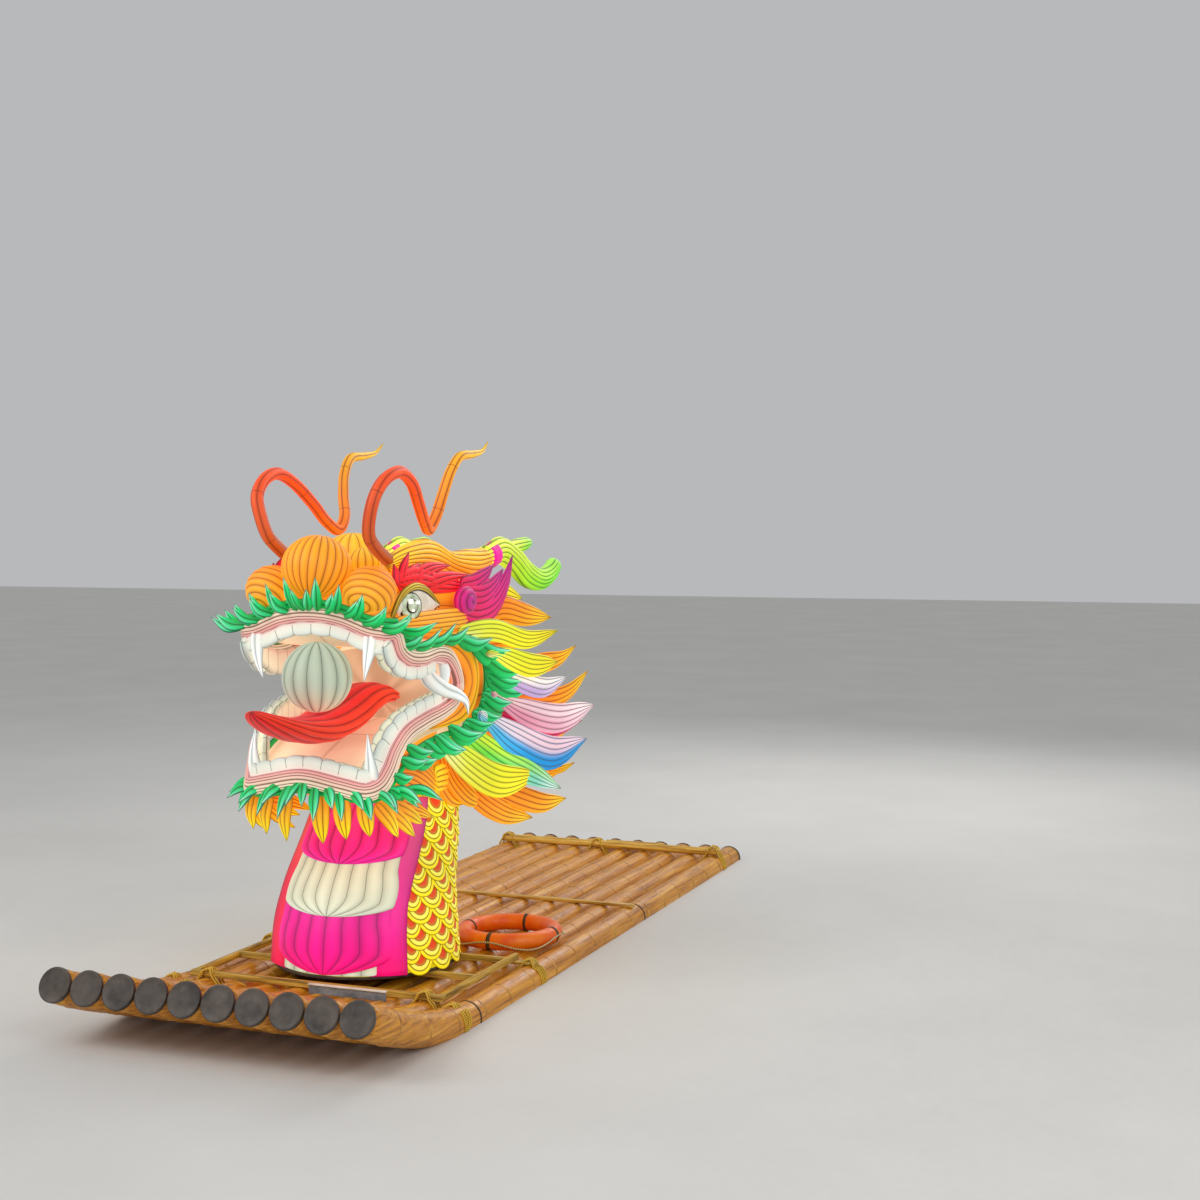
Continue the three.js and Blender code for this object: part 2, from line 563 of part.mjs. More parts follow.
// Mane: each lock's path from its root at the head to its tip, and its width
const MANE = [
  { path: [[450, -960, 2400], [560, -640, 2460], [660, -440, 2415], [750, -210, 2390]], width: 165 },
  { path: [[450, -1060, 2330], [600, -800, 2335], [740, -605, 2275], [850, -320, 2310]], width: 130 },
  { path: [[460, -960, 2240], [640, -820, 2190], [760, -610, 2100], [860, -355, 2095]], width: 140 },
  { path: [[450, -700, 2100], [740, -360, 2085], [820, -210, 2115], [900, -125, 2195]], width: 120 },
  { path: [[460, -830, 2060], [680, -605, 1975], [800, -450, 1930], [900, -295, 1990]], width: 120 },
  { path: [[450, -700, 1880], [780, -330, 1835], [880, -210, 1885], [960, -50, 2015]], width: 120 },
  { path: [[460, -850, 1910], [700, -650, 1790], [860, -380, 1715], [1000, -25, 1775]], width: 160 },
  { path: [[450, -700, 1650], [740, -380, 1600], [820, -285, 1595], [900, -215, 1650]], width: 110 },
  { path: [[460, -900, 1770], [700, -740, 1615], [860, -475, 1490], [1000, -180, 1555]], width: 190 },
  { path: [[450, -650, 1420], [760, -330, 1340], [860, -310, 1360], [950, -275, 1405]], width: 110 },
  { path: [[460, -1000, 1640], [660, -870, 1495], [800, -660, 1375], [920, -450, 1250]], width: 140 },
  { path: [[450, -1100, 1560], [600, -1060, 1450], [700, -900, 1350], [820, -605, 1330]], width: 150 },
  { path: [[440, -900, 1380], [680, -605, 1200], [780, -450, 1145], [860, -210, 1145]], width: 140 },
  { path: [[440, -1080, 1480], [540, -1025, 1280], [620, -780, 1125], [700, -425, 1035]], width: 140 },
  { path: [[430, -1250, 1450], [470, -1230, 1330], [530, -1130, 1230], [590, -960, 1170]], width: 110 },
  { path: [[430, -1400, 1420], [445, -1400, 1330], [480, -1330, 1240], [520, -1200, 1180]], width: 100 },
  { path: [[440, -1150, 1470], [452, -1450, 1440], [460, -1700, 1470], [452, -1930, 1520]], width: 150 },
  { path: [[470, -1290, 1250], [452, -1500, 1250], [445, -1650, 1280], [440, -1830, 1330]], width: 90 },
  { path: [[320, -560, 2480], [420, -380, 2560], [520, -180, 2520]], width: 150 },
  { path: [[320, -560, 2230], [430, -330, 2270], [560, -90, 2200]], width: 170 },
  { path: [[320, -560, 1960], [440, -300, 1950], [600, -40, 1880]], width: 170 },
  { path: [[320, -560, 1690], [440, -320, 1620], [600, -100, 1500]], width: 170 },
  { path: [[140, -520, 2380], [190, -300, 2420], [240, -80, 2350]], width: 150 },
  { path: [[140, -520, 2090], [190, -270, 2090], [250, -20, 1990]], width: 160 },
  { path: [[140, -520, 1800], [190, -280, 1750], [250, -60, 1620]], width: 160 },
];
// The locks stand on a collar round the back of the head and on a band along the jaw.
const COLLAR = [
  { y: -980, half: 505, low: 1370, high: 2430 },
  { y: -720, half: 500, low: 1370, high: 2450 },
  { y: -485, half: 370, low: 1480, high: 2400 },
];
const SIDE = 2000;
const leftSide = box((SIDE + GAP) / 2, 0, SIDE, SIDE, 2 * SIDE, SIDE);
const collar = blockLoft(COLLAR, 3.6).intersect(leftSide);
const JAW_BAND = [[470, -880, 1500], [462, -1100, 1430], [458, -1430, 1420]];
const jawBand = sweep(JAW_BAND, [230, 220, 170], [70], { steps: 3 });
const mane = join([collar, jawBand, ...MANE.map(({ path, width }) => lock(path, width, 50))]);
keepPair('mane', 'mane', mane, [
  'skull', 'throat', 'lower_jaw', 'neck', 'cheek_l', 'cheek_leaves_l', 'temple_swirl_l', 'lower_lip', 'upper_lip',
  'tusk_l', 'horn_l', 'eye_l', 'eyebrow_l', 'nostril_l',
]);

// Beard: golden spikes on a band under the lower lip, with green leaves over their roots
const BEARD_BAND = [
  [450, -1860, 1368], [435, -2030, 1392], [360, -2190, 1398], [200, -2235, 1420], [0, -2255, 1452],
];
const beardPath = [...BEARD_BAND, ...flipped(BEARD_BAND).slice(1)];
const beardCurve = new THREE.CatmullRomCurve3(beardPath.map((p) => v3(...p)));
const BEARD_SPIKES = 11;
const BEARD_DROP = 275;
const beardSpikes = Array.from({ length: BEARD_SPIKES }, (_, i) => {
  const p = beardCurve.getPointAt((i + 0.5) / BEARD_SPIKES);
  return spike([p.x, p.y, p.z], [1.04 * p.x, p.y - 10, p.z - BEARD_DROP], 46, 4);
});
const beardBand = sweep(beardPath, [60], [50], { steps: 16, sides: 5, facing: outOfFace });
keep('beard', 'scale', join([beardBand, ...beardSpikes]), [
  'lower_jaw', 'lower_lip', 'neck', 'mane_l', 'mane_r', 'throat', 'cheek_leaves_l', 'cheek_leaves_r',
]);

const group = new THREE.Group();
for (const [name, body] of Object.entries(parts)) {
  const [color, roughness] = palette[finish[name]];
  const material = new THREE.MeshStandardMaterial({ color, roughness, metalness: 0 });
  const mesh = new THREE.Mesh(skin(body), material);
  mesh.name = name;
  group.add(mesh);
}

export default group;
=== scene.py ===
"""Looks of a ten-pipe bamboo raft whose figurehead is a dragon-head lantern of silk over wire.

Tables give millimetres in the raft's frame: +Z is up, the bow and the dragon look along -Y, and the
dragon's left side is +X. Meshes are made in metres. Forms on the dragon's left are mirrored to its right.
"""
import logging
import math
from dataclasses import dataclass, field
from enum import Enum
from typing import Any, Callable, Optional, Sequence, Union

import bpy
import numpy as np
from bpy.types import Material, NodeSocket, NodeTree, Object
from mathutils import Euler, Matrix, Vector


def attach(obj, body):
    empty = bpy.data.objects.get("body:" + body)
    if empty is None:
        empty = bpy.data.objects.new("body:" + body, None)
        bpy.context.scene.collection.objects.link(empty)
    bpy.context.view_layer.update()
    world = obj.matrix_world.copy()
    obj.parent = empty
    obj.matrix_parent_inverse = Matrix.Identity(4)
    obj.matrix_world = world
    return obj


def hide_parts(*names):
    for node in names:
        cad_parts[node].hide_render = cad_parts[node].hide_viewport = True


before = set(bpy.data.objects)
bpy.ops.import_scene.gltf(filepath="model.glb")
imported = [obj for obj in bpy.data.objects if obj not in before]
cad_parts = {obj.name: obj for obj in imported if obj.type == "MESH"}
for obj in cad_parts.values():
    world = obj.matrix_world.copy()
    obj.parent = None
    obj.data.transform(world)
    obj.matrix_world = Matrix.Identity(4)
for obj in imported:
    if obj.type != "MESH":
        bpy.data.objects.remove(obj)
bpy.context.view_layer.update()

LOG = logging.getLogger("raft")
MM = 0.001
TAU = 2 * math.pi
BODY = "root"
SILK_MAP = "silk"
Point = tuple[float, float, float]
Points = tuple[Point, ...]
Sized = tuple[tuple[float, float, float, float], ...]
Row = Sequence[float]
Rows = Sequence[Row]
Array = np.ndarray
Facing = Union[Row, Callable[[Array], Array]]
SIDEWAYS = (1.0, 0.0, 0.0)
FORWARDS = (0.0, -1.0, 0.0)
UPWARDS = (0.0, 0.0, 1.0)


class Wrap(Enum):
    """How the wire seams of a swept form run over its section."""

    ACROSS = "edge to edge, alike on both faces"
    AROUND = "evenly round the section"


class Seams(Enum):
    """How the wire seams of a ball run."""

    MERIDIANS = "from pole to pole"
    PARALLELS = "in rings about the axis"
    SPIRAL = "in one line that winds out from the pole"


class Axis(Enum):
    """The way along which a paint changes colour."""

    LENGTH = "from root to tip"
    WIDTH = "from edge to edge"


# Curves and shells


def smooth_path(points: Rows, count: int) -> Array:
    """Evenly spaced points on one smooth curve.

    Args:
        points: The points that the curve goes through.
        count: How many points are wanted.

    Returns:
        An array of count rows.
    """
    knots = np.asarray(points, float)
    knots = np.vstack([2 * knots[:1] - knots[1:2], knots, 2 * knots[-1:] - knots[-2:-1]])
    dense = []
    for a, b, c, d in zip(knots, knots[1:], knots[2:], knots[3:]):
        gaps = [np.linalg.norm(q - p) ** 0.5 for p, q in ((a, b), (b, c), (c, d))]
        ta, tb, tc, td = np.cumsum([0.0, *gaps])
        t = np.linspace(tb, tc, 16, endpoint=False)[:, None]
        ab = (tb - t) / (tb - ta) * a + (t - ta) / (tb - ta) * b
        bc = (tc - t) / (tc - tb) * b + (t - tb) / (tc - tb) * c
        cd = (td - t) / (td - tc) * c + (t - tc) / (td - tc) * d
        abc = (tc - t) / (tc - ta) * ab + (t - ta) / (tc - ta) * bc
        bcd = (td - t) / (td - tb) * bc + (t - tb) / (td - tb) * cd
        dense.append((tc - t) / (tc - tb) * abc + (t - tb) / (tc - tb) * bcd)
    dense = np.vstack([*dense, knots[-2:-1]])
    reach = np.concatenate([[0], np.cumsum(np.linalg.norm(np.diff(dense, axis=0), axis=1))])
    where = np.linspace(0, reach[-1], count)
    return np.column_stack([np.interp(where, reach, dense[:, axis]) for axis in range(dense.shape[1])])


def spread(row: Row, t: Array) -> Array:
    """Reads a short row of evenly spread numbers as a smooth function of t from 0 to 1.

    Args:
        row: The numbers.
        t: Where to read them.

    Returns:
        The values there.
    """
    if len(row) == 1:
        return np.full(len(t), float(row[0]))
    padded = np.array([2 * row[0] - row[1], *row, 2 * row[-1] - row[-2]], float)
    place = np.clip(t, 0, 1) * (len(row) - 1)
    i = np.minimum(place.astype(int), len(row) - 2)
    s = place - i
    a, b, c, d = (padded[i + k] for k in range(4))
    value = b + 0.5 * s * (c - a + s * (2 * a - 5 * b + 4 * c - d + s * (3 * (b - c) + d - a)))
    return np.maximum(value, min(row))


def unit(v: Array) -> Array:
    """Vectors at length one."""
    return v / np.maximum(np.linalg.norm(v, axis=-1, keepdims=True), 1e-9)


@dataclass
class Patch:
    """A closed shell on a grid of rows and columns, with the measures that its paint reads.

    points holds the corners, along the place from root to tip of each, seam a number that is whole on each
    wire, with one more column than points, across the place from edge to edge, and rib the metres between
    wires.
    """

    points: Array
    along: Array
    seam: Array
    across: Array
    rib: Array


def sweep(
    path: Rows,
    width: Row,
    thickness: Row,
    facing: Facing = SIDEWAYS,
    ribs: int = 5,
    puff: float = 0.3,
    wrap: Wrap = Wrap.ACROSS,
    steps: int = 26,
    per_rib: int = 4,
    blunt: tuple[float, float] = (0.0, 0.0),
    twist: float = 0.0,
    power: float = 2.0,
) -> Patch:
    """A silk form stretched over wires that run along a smooth path.

    Args:
        path: Points on its middle line.
        width: Its width across the way it faces, evenly spread along it.
        thickness: Its thickness along the way it faces.
        facing: The way its flat face looks, or a function of the points that gives it.
        ribs: How many puffed ribs lie between its wires.
        puff: The share of the thickness that is lost at a wire.
        wrap: How the wires run over its section.
        steps: Rows along it.
        per_rib: Columns to a rib.
        blunt: The shares of its length over which each end is rounded off.
        twist: How many ribs its wires move across from root to tip.
        power: 2 for an elliptic section, more for a squarer one.

    Returns:
        The shell.
    """
    t = np.linspace(0, 1, steps + 1)
    line = smooth_path(path, steps + 1) * MM
    wide, thick = spread(width, t) * MM, spread(thickness, t) * MM
    for share, place in zip(blunt, (t, 1 - t)):
        if share:
            left = 1 - np.clip(place / share, 0, 1)
            cap = np.sqrt(np.maximum(1 - left**2, 0.01))
            wide, thick = wide * cap, thick * cap
    tangent = unit(np.gradient(line, axis=0))
    face = facing(line) if callable(facing) else np.tile(np.asarray(facing, float), (steps + 1, 1))
    side = unit(np.cross(tangent, face))
    out = unit(np.cross(side, tangent))
    if wrap is Wrap.ACROSS:
        half = np.arange(ribs * per_rib + 1) / (ribs * per_rib)
        place = np.concatenate([half, half[-2:0:-1]])
        turn = np.arccos(1 - 2 * place)
        turn[len(half):] = TAU - turn[len(half):]
        counted = np.append(place, 0.0)
        rib = wide / ribs
    else:
        counted = np.arange(ribs * per_rib + 1) / (ribs * per_rib)
        turn = TAU * counted[:-1]
        rib = math.pi * (wide + thick) / 2 / ribs
    seam = ribs * counted[None, :] + twist * t[:, None]
    hollow = 1 - puff * (1 - np.abs(np.sin(math.pi * seam[:, :-1])) ** 0.7)
    c = np.sign(np.cos(turn)) * np.abs(np.cos(turn)) ** (2 / power)
    s = np.sign(np.sin(turn)) * np.abs(np.sin(turn)) ** (2 / power)
    pinch = np.ones_like(hollow) if wrap is Wrap.ACROSS else hollow
    points = (
        line[:, None]
        + side[:, None] * (wide[:, None] / 2 * c * pinch)[..., None]
        + out[:, None] * (thick[:, None] / 2 * s * hollow)[..., None]
    )
    edge = np.tile((1 - np.cos(turn)) / 2, (steps + 1, 1))
    return Patch(points, t, seam, edge, np.repeat(rib[:, None], len(turn), axis=1))


def ball(
    centre: Row,
    radii: Row,
    axis: Row = UPWARDS,
    ribs: int = 12,
    puff: float = 0.04,
    seams: Seams = Seams.MERIDIANS,
    rows: int = 28,
    columns: int = 48,
) -> Patch:
    """A stretched ball of silk over wires.

    Args:
        centre: Its middle.
        radii: Its half sizes along X, Y and Z.
        axis: The line through its poles, before it is stretched.
        ribs: How many ribs lie round it, or from pole to pole.
        puff: How deep the wires lie, as a share of its size.
        seams: How the wires run.
        rows: Rows from pole to pole.
        columns: Columns round it.

    Returns:
        The shell.
    """
    pole = unit(np.asarray(axis, float))
    first = unit(np.cross(pole, (0.0, 0.0, 1.0) if abs(pole[2]) < 0.9 else (0.0, -1.0, 0.0)))
    second = np.cross(pole, first)
    t = np.linspace(0.01, 0.99, rows + 1)
    polar = math.pi * t
    counted = np.arange(columns + 1) / columns
    turn = TAU * counted[:-1]
    if seams is Seams.MERIDIANS:
        seam = np.tile(ribs * counted, (rows + 1, 1))
    elif seams is Seams.PARALLELS:
        seam = np.tile(ribs * t[:, None], (1, columns + 1))
    else:
        seam = ribs * t[:, None] + counted[None, :]
    hollow = 1 - puff * (1 - np.abs(np.sin(math.pi * seam[:, :-1])) ** 0.7)
    round_it = first * np.cos(turn)[:, None] + second * np.sin(turn)[:, None]
    way = -pole * np.cos(polar)[:, None, None] + round_it[None] * np.sin(polar)[:, None, None]
    points = (np.asarray(centre, float) + np.asarray(radii, float) * way * hollow[..., None]) * MM
    size = float(np.mean(radii)) * MM
    if seams is Seams.MERIDIANS:
        rib = np.tile((TAU * size * np.sin(polar) / ribs)[:, None], (1, columns))
    else:
        rib = np.full(hollow.shape, math.pi * size / ribs)
    return Patch(points, t, seam, np.tile((1 - np.cos(turn)) / 2, (rows + 1, 1)), rib)


# Meshes


class Form:
    """A mesh in the making, joined from shells with a finish each."""

    def __init__(self, name: str) -> None:
        """Starts an empty form.

        Args:
            name: The name of the piece that it becomes.
        """
        self.name = name
        self.points: list[Array] = []
        self.across: list[Array] = []
        self.rib: list[Array] = []
        self.faces: list[tuple[int, ...]] = []
        self.maps: list[tuple[float, float]] = []
        self.paints: list[int] = []
        self.finishes: list["Surface"] = []
        self.count = 0

    def add(self, patch: Patch, finish: "Surface") -> "Form":
        """Joins a shell to the form, with its ends closed and its faces pointing out.

        Args:
            patch: The shell.
            finish: Its finish.

        Returns:
            The form.
        """
        rows, columns = patch.points.shape[:2]
        corners = patch.points.reshape(-1, 3)
        ends = np.vstack([patch.points[0].mean(axis=0), patch.points[-1].mean(axis=0)])
        i, j = np.meshgrid(np.arange(rows - 1), np.arange(columns), indexing="ij")
        k = (j + 1) % columns
        quads = np.stack([i * columns + j, i * columns + k, (i + 1) * columns + k, (i + 1) * columns + j], -1)
        quads = quads.reshape(-1, 4)
        low, high = patch.along[i], patch.along[i + 1]
        seam = patch.seam
        uv = np.stack([
            np.stack([low, seam[i, j]], -1), np.stack([low, seam[i, j + 1]], -1),
            np.stack([high, seam[i + 1, j + 1]], -1), np.stack([high, seam[i + 1, j]], -1),
        ], -2).reshape(-1, 4, 2)
        a, b, c, d = (corners[quads[:, n]] for n in range(4))
        middle = corners.mean(axis=0)
        volume = np.einsum("ij,ij->", a - middle,
                           np.cross(b - middle, c - middle) + np.cross(c - middle, d - middle))
        turned = volume < 0
        faces = [tuple(q) for q in (quads[:, ::-1] if turned else quads).tolist()]
        maps = (uv[:, ::-1] if turned else uv).reshape(-1, 2).tolist()
        for row, end, flip in ((0, rows * columns, not turned), (rows - 1, rows * columns + 1, turned)):
            for n in range(columns):
                m = (n + 1) % columns
                ring = [row * columns + n, row * columns + m]
                place = [(patch.along[row], seam[row, n]), (patch.along[row], seam[row, n + 1])]
                if flip:
                    ring, place = ring[::-1], place[::-1]
                faces.append((*ring, end))
                maps += [*place, (patch.along[row], 0.5 * (place[0][1] + place[1][1]))]
        self.faces += [tuple(v + self.count for v in face) for face in faces]
        self.maps += maps
        if finish not in self.finishes:
            self.finishes.append(finish)
        self.paints += [self.finishes.index(finish)] * len(faces)
        self.points.append(np.vstack([corners, ends]))
        self.across.append(np.append(patch.across.ravel(), [0.5, 0.5]))
        self.rib.append(np.append(patch.rib.ravel(), patch.rib[[0, -1]].mean(axis=1)))
        self.count += len(corners) + 2
        return self

    def mirrored(self, name: str) -> "Form":
        """The same form on the other side of the raft's middle plane.

        Args:
            name: The new piece's name.

        Returns:
            The mirrored form.
        """
        twin = Form(name)
        twin.points = [p * (-1, 1, 1) for p in self.points]
        twin.across, twin.rib, twin.finishes = self.across, self.rib, self.finishes
        twin.paints, twin.count = self.paints, self.count
        at = 0
        for face in self.faces:
            twin.faces.append(face[::-1])
            twin.maps += self.maps[at:at + len(face)][::-1]
            at += len(face)
        return twin

    def build(self) -> Object:
        """Makes the mesh object.

        Returns:
            The object, at the origin.
        """
        mesh = bpy.data.meshes.new(self.name)
        mesh.from_pydata(np.vstack(self.points).tolist(), [], self.faces)
        layer = mesh.uv_layers.new(name=SILK_MAP)
        layer.data.foreach_set("uv", np.asarray(self.maps, np.float32).ravel())
        for name, values in (("across", self.across), ("rib", self.rib)):
            attribute = mesh.attributes.new(name, "FLOAT", "POINT")
            attribute.data.foreach_set("value", np.concatenate(values).astype(np.float32))
        for finish in self.finishes:
            mesh.materials.append(finish.material())
        mesh.polygons.foreach_set("material_index", np.asarray(self.paints, np.int32))
        mesh.polygons.foreach_set("use_smooth", np.ones(len(mesh.polygons), bool))
        mesh.update()
        return linked(self.name, mesh)


def linked(name: str, data: Any) -> Object:
    """A new object in the scene, made from its data."""
    piece = bpy.data.objects.new(name, data)
    bpy.context.scene.collection.objects.link(piece)
    return piece


def settle(piece: Object, slot: str, *nodes: str) -> None:
    """Ties a piece to the raft's body and hides the nodes that it stands for.

    Args:
        piece: The piece.
        slot: Not used.
        nodes: The nodes that it replaces.
    """
    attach(piece, BODY)
    if nodes:
        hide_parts(*nodes)
    LOG.info("%s: %d faces", piece.name, len(piece.data.polygons))


def settle_pair(form: Form, slot: str, *nodes: str) -> None:
    """Builds a left form and its mirror image.

    Args:
        form: The left form, whose name ends in _left.
        slot: Passed on to settle, which does not use it.
        nodes: The stems of the nodes that it replaces.
    """
    twin = form.mirrored(form.name.replace("_left", "_right"))
    settle(form.build(), slot, *(f"{node}_l" for node in nodes))
    settle(twin.build(), slot, *(f"{node}_r" for node in nodes))


# Finishes


def linear(colour: str) -> tuple[float, float, float, float]:
    """An sRGB hex colour as linear light, with an alpha of one."""
    channels = [int(colour[i:i + 2], 16) / 255 for i in (0, 2, 4)]
    return (*(c / 12.92 if c <= 0.04045 else ((c + 0.055) / 1.055) ** 2.4 for c in channels), 1.0)


def node(tree: NodeTree, kind: str, inputs: Optional[dict[Any, Any]] = None,
         **settings: Any) -> bpy.types.Node:
    """Adds a node with its settings, and its inputs as values or links.

    Args:
        tree: The node tree.
        kind: The node's type.
        inputs: A value or an output socket for each input, by name or place.
        settings: The node's own properties.

    Returns:
        The node.
    """
    made = tree.nodes.new(kind)
    for name, value in settings.items():
        setattr(made, name, value)
    for key, value in (inputs or {}).items():
        if isinstance(value, bpy.types.NodeSocket):
            tree.links.new(value, made.inputs[key])
        else:
            made.inputs[key].default_value = value
    return made


def shade(tree: NodeTree, value: NodeSocket, colours: str, low: float = 0.0, high: float = 1.0) -> NodeSocket:
    """A colour that follows a number.

    Args:
        tree: The node tree.
        value: The number.
        colours: sRGB hex colours, evenly spread, with a place before each that is given.
        low: The place of the first.
        high: The place of the last.

    Returns:
        The colour.
    """
    ramp = node(tree, "ShaderNodeValToRGB", {"Fac": value})
    words = colours.split()
    elements = ramp.color_ramp.elements
    while len(elements) < len(words):
        elements.new(0.5)
    for k, (element, word) in enumerate(zip(elements, words)):
        place, _, colour = word.rpartition(":")
        element.position = float(place) if place else low + (high - low) * k / (len(words) - 1)
        element.color = linear(colour)
    return ramp.outputs["Color"]


def soft_step(
    tree: NodeTree, value: NodeSocket, reach: tuple[float, float], result: tuple[float, float]
) -> NodeSocket:
    """A soft change from the first result to the second while the value crosses the reach."""
    return node(tree, "ShaderNodeMapRange", {
        "Value": value, "From Min": reach[0], "From Max": reach[1], "To Min": result[0], "To Max": result[1],
    }, interpolation_type="SMOOTHSTEP").outputs["Result"]


def blend(tree: NodeTree, share: Any, first: Any, second: Any) -> NodeSocket:
    """A mix of two colours, by the share of the second."""
    return node(tree, "ShaderNodeMix", {0: share, 6: first, 7: second}, data_type="RGBA").outputs[2]


def maths(tree: NodeTree, operation: str, *values: Any) -> NodeSocket:
    """The result of one step of arithmetic."""
    return node(tree, "ShaderNodeMath", dict(enumerate(values)), operation=operation).outputs[0]


def noise(tree: NodeTree, spot: NodeSocket, scale: float, detail: float,
          roughness: float = 0.5) -> NodeSocket:
    """Cloudy noise, with scale patches to a metre."""
    inputs = {"Vector": spot, "Scale": scale, "Detail": detail, "Roughness": roughness}
    return node(tree, "ShaderNodeTexNoise", inputs).outputs["Fac"]


def silk_place(tree: NodeTree) -> tuple[NodeSocket, NodeSocket]:
    """The place along a form, and the number that is whole on each of its wires."""
    place = node(tree, "ShaderNodeUVMap", uv_map=SILK_MAP)
    split = node(tree, "ShaderNodeSeparateXYZ", {"Vector": place.outputs["UV"]})
    return split.outputs["X"], split.outputs["Y"]


@dataclass(frozen=True)
class Surface:
    """A material that is made the first time a form wears it."""

    name: str

    def material(self) -> Material:
        """The material."""
        if self.name not in bpy.data.materials:
            material = bpy.data.materials.new(self.name)
            material.use_nodes = True
            tree = material.node_tree
            tree.nodes.clear()
            shader = node(tree, "ShaderNodeBsdfPrincipled", self.shading(tree))
            node(tree, "ShaderNodeOutputMaterial", {"Surface": shader.outputs["BSDF"]})
        return bpy.data.materials[self.name]

    def shading(self, tree: NodeTree) -> dict[str, Any]:
        """The shader's inputs, which each kind of surface sets its own way."""
        raise NotImplementedError


@dataclass(frozen=True)
class LanternSilk(Surface):
    """Lantern silk glued over iron wire, airbrushed and lit from within.

    The lamps inside make its colours glow, and a painted highlight makes the glow strongest where the silk
    swells out between two wires. Each wire shows as a thin dark line in a softly darker strip of painted
    shade, which is partly the silk's airbrushed deep colour. Colours are listed from root to tip, or from
    edge to edge, and beyond holds those past the middle of the other way.
    """

    colours: str
    beyond: str = ""
    deep: str = "D86A08"
    wire: str = "8A4A08"
    axis: Axis = Axis.LENGTH
    edge: tuple[float, float] = (0.3, 0.7)
    glow: float = 0.62
    valley_shade: float = 0.55
    wire_mm: float = 4.5
    ink: float = 0.75
    joints: float = 0.0
    joint_width: float = 0.016

    def shading(self, tree: NodeTree) -> dict[str, Any]:
        """The silk's shader inputs."""
        length, seam = silk_place(tree)
        width, rib = (
            node(tree, "ShaderNodeAttribute", attribute_name=name).outputs["Fac"]
            for name in ("across", "rib")
        )
        near = maths(tree, "PINGPONG", seam, 0.5)
        half = self.wire_mm * MM / 2
        line = soft_step(tree, maths(tree, "MULTIPLY", near, rib), (half * 0.5, half * 1.5), (self.ink, 0.0))
        first, second = (length, width) if self.axis is Axis.LENGTH else (width, length)
        colour = shade(tree, first, self.colours)
        if self.beyond:
            other = shade(tree, first, self.beyond)
            colour = blend(tree, soft_step(tree, second, self.edge, (0.0, 1.0)), colour, other)
        # Painted shade, partly the silk's airbrushed deep tone: beside each wire the colour is mixed towards
        # the deep colour.
        colour = blend(tree, soft_step(tree, near, (0.0, 0.24), (self.valley_shade, 0.0)), colour,
                       linear(self.deep))
        if self.joints:
            close = maths(tree, "PINGPONG", maths(tree, "MULTIPLY", length, self.joints), 0.5)
            cross = soft_step(tree, close, (0.4 * self.joint_width, self.joint_width), (0.6, 0.0))
            line = maths(tree, "MAXIMUM", line, cross)
        colour = blend(tree, line, colour, linear(self.wire))
        spot = node(tree, "ShaderNodeTexCoord").outputs["Object"]
        # Lamps hang about 300 mm apart behind the silk, so the glow is uneven at that scale.
        lamps = noise(tree, spot, 3.2, 1.0)
        # Painted highlight: the glow is weakest at the wires and strongest in the middle of each rib.
        crest_highlight = soft_step(tree, near, (0.0, 0.5), (0.72, 1.12))
        uneven = soft_step(tree, lamps, (0.3, 0.7), (0.85 * self.glow, 1.1 * self.glow))
        # The silk's threads are 0.2 mm apart. They are drawn 5 mm apart so that they show.
        height = maths(tree, "MULTIPLY_ADD", line, 1.5, noise(tree, spot, 200.0, 2.0))
        bump = node(tree, "ShaderNodeBump", {"Height": height, "Strength": 0.25, "Distance": 0.002})
        # Silk over a lit hollow returns less of the light that falls on it.
        cloth = node(tree, "ShaderNodeHueSaturation", {"Color": colour, "Value": 0.62})
        return {
            "Base Color": cloth.outputs["Color"], "Roughness": 0.55, "Sheen Weight": 0.1,
            "Sheen Roughness": 0.4,
            "Emission Color": colour, "Emission Strength": maths(tree, "MULTIPLY", crest_highlight, uneven),
            "Normal": bump.outputs["Normal"],
        }


@dataclass(frozen=True)
class Finish(Surface):
    """A plain finish: two tones in patches or streaks, a fine grain and a roughness that wanders.

    The streaks are patches stretched along the axis whose number is small in stretch.
    """

    colours: str
    patch_mm: float = 120.0
    stretch: Point = (1.0, 1.0, 1.0)
    contrast: tuple[float, float] = (0.35, 0.65)
    grain_mm: float = 4.0
    relief_mm: float = 0.4
    streak_relief_mm: float = 0.0
    roughness: float = 0.5
    glow: float = 0.0

    def shading(self, tree: NodeTree) -> dict[str, Any]:
        """The finish's shader inputs."""
        spot = node(tree, "ShaderNodeTexCoord").outputs["Object"]
        stretched = node(tree, "ShaderNodeMapping", {"Vector": spot, "Scale": self.stretch}).outputs["Vector"]
        patches = noise(tree, stretched, 1000 / self.patch_mm, 5.0, 0.6)
        colour = shade(tree, patches, self.colours, *self.contrast)
        wear = noise(tree, spot, 18.0, 5.0)
        relief = self.streak_relief_mm / self.relief_mm
        height = maths(tree, "MULTIPLY_ADD", patches, relief, noise(tree, spot, 1000 / self.grain_mm, 2.0))
        bump = node(tree, "ShaderNodeBump",
                    {"Height": height, "Strength": 0.5, "Distance": self.relief_mm * MM})
        return {
            "Base Color": colour, "Normal": bump.outputs["Normal"],
            "Roughness": soft_step(tree, wear, (0.35, 0.7), (self.roughness - 0.1, self.roughness + 0.1)),
            "Emission Color": colour, "Emission Strength": self.glow,
        }


# Extruded pipe coloured through as bamboo: a satin golden brown with streaks along it.
# Bamboo's fibres are about 1 mm apart. They are drawn as streaks about 20 mm wide.
PIPE_WALL = Finish(
    "Extruded_bamboo_look_pipe", "8E500E C07A14 DA941E F0B848", patch_mm=22, stretch=(1, 0.035, 1),
    contrast=(0.3, 0.72), streak_relief_mm=1.2, roughness=0.42,
)
# The joints are moulded over the pipe, lighter where hands and ropes have rubbed them.
PIPE_JOINT = Finish("Moulded_bamboo_joint", "9A5C16 E2A846", patch_mm=50, roughness=0.4)
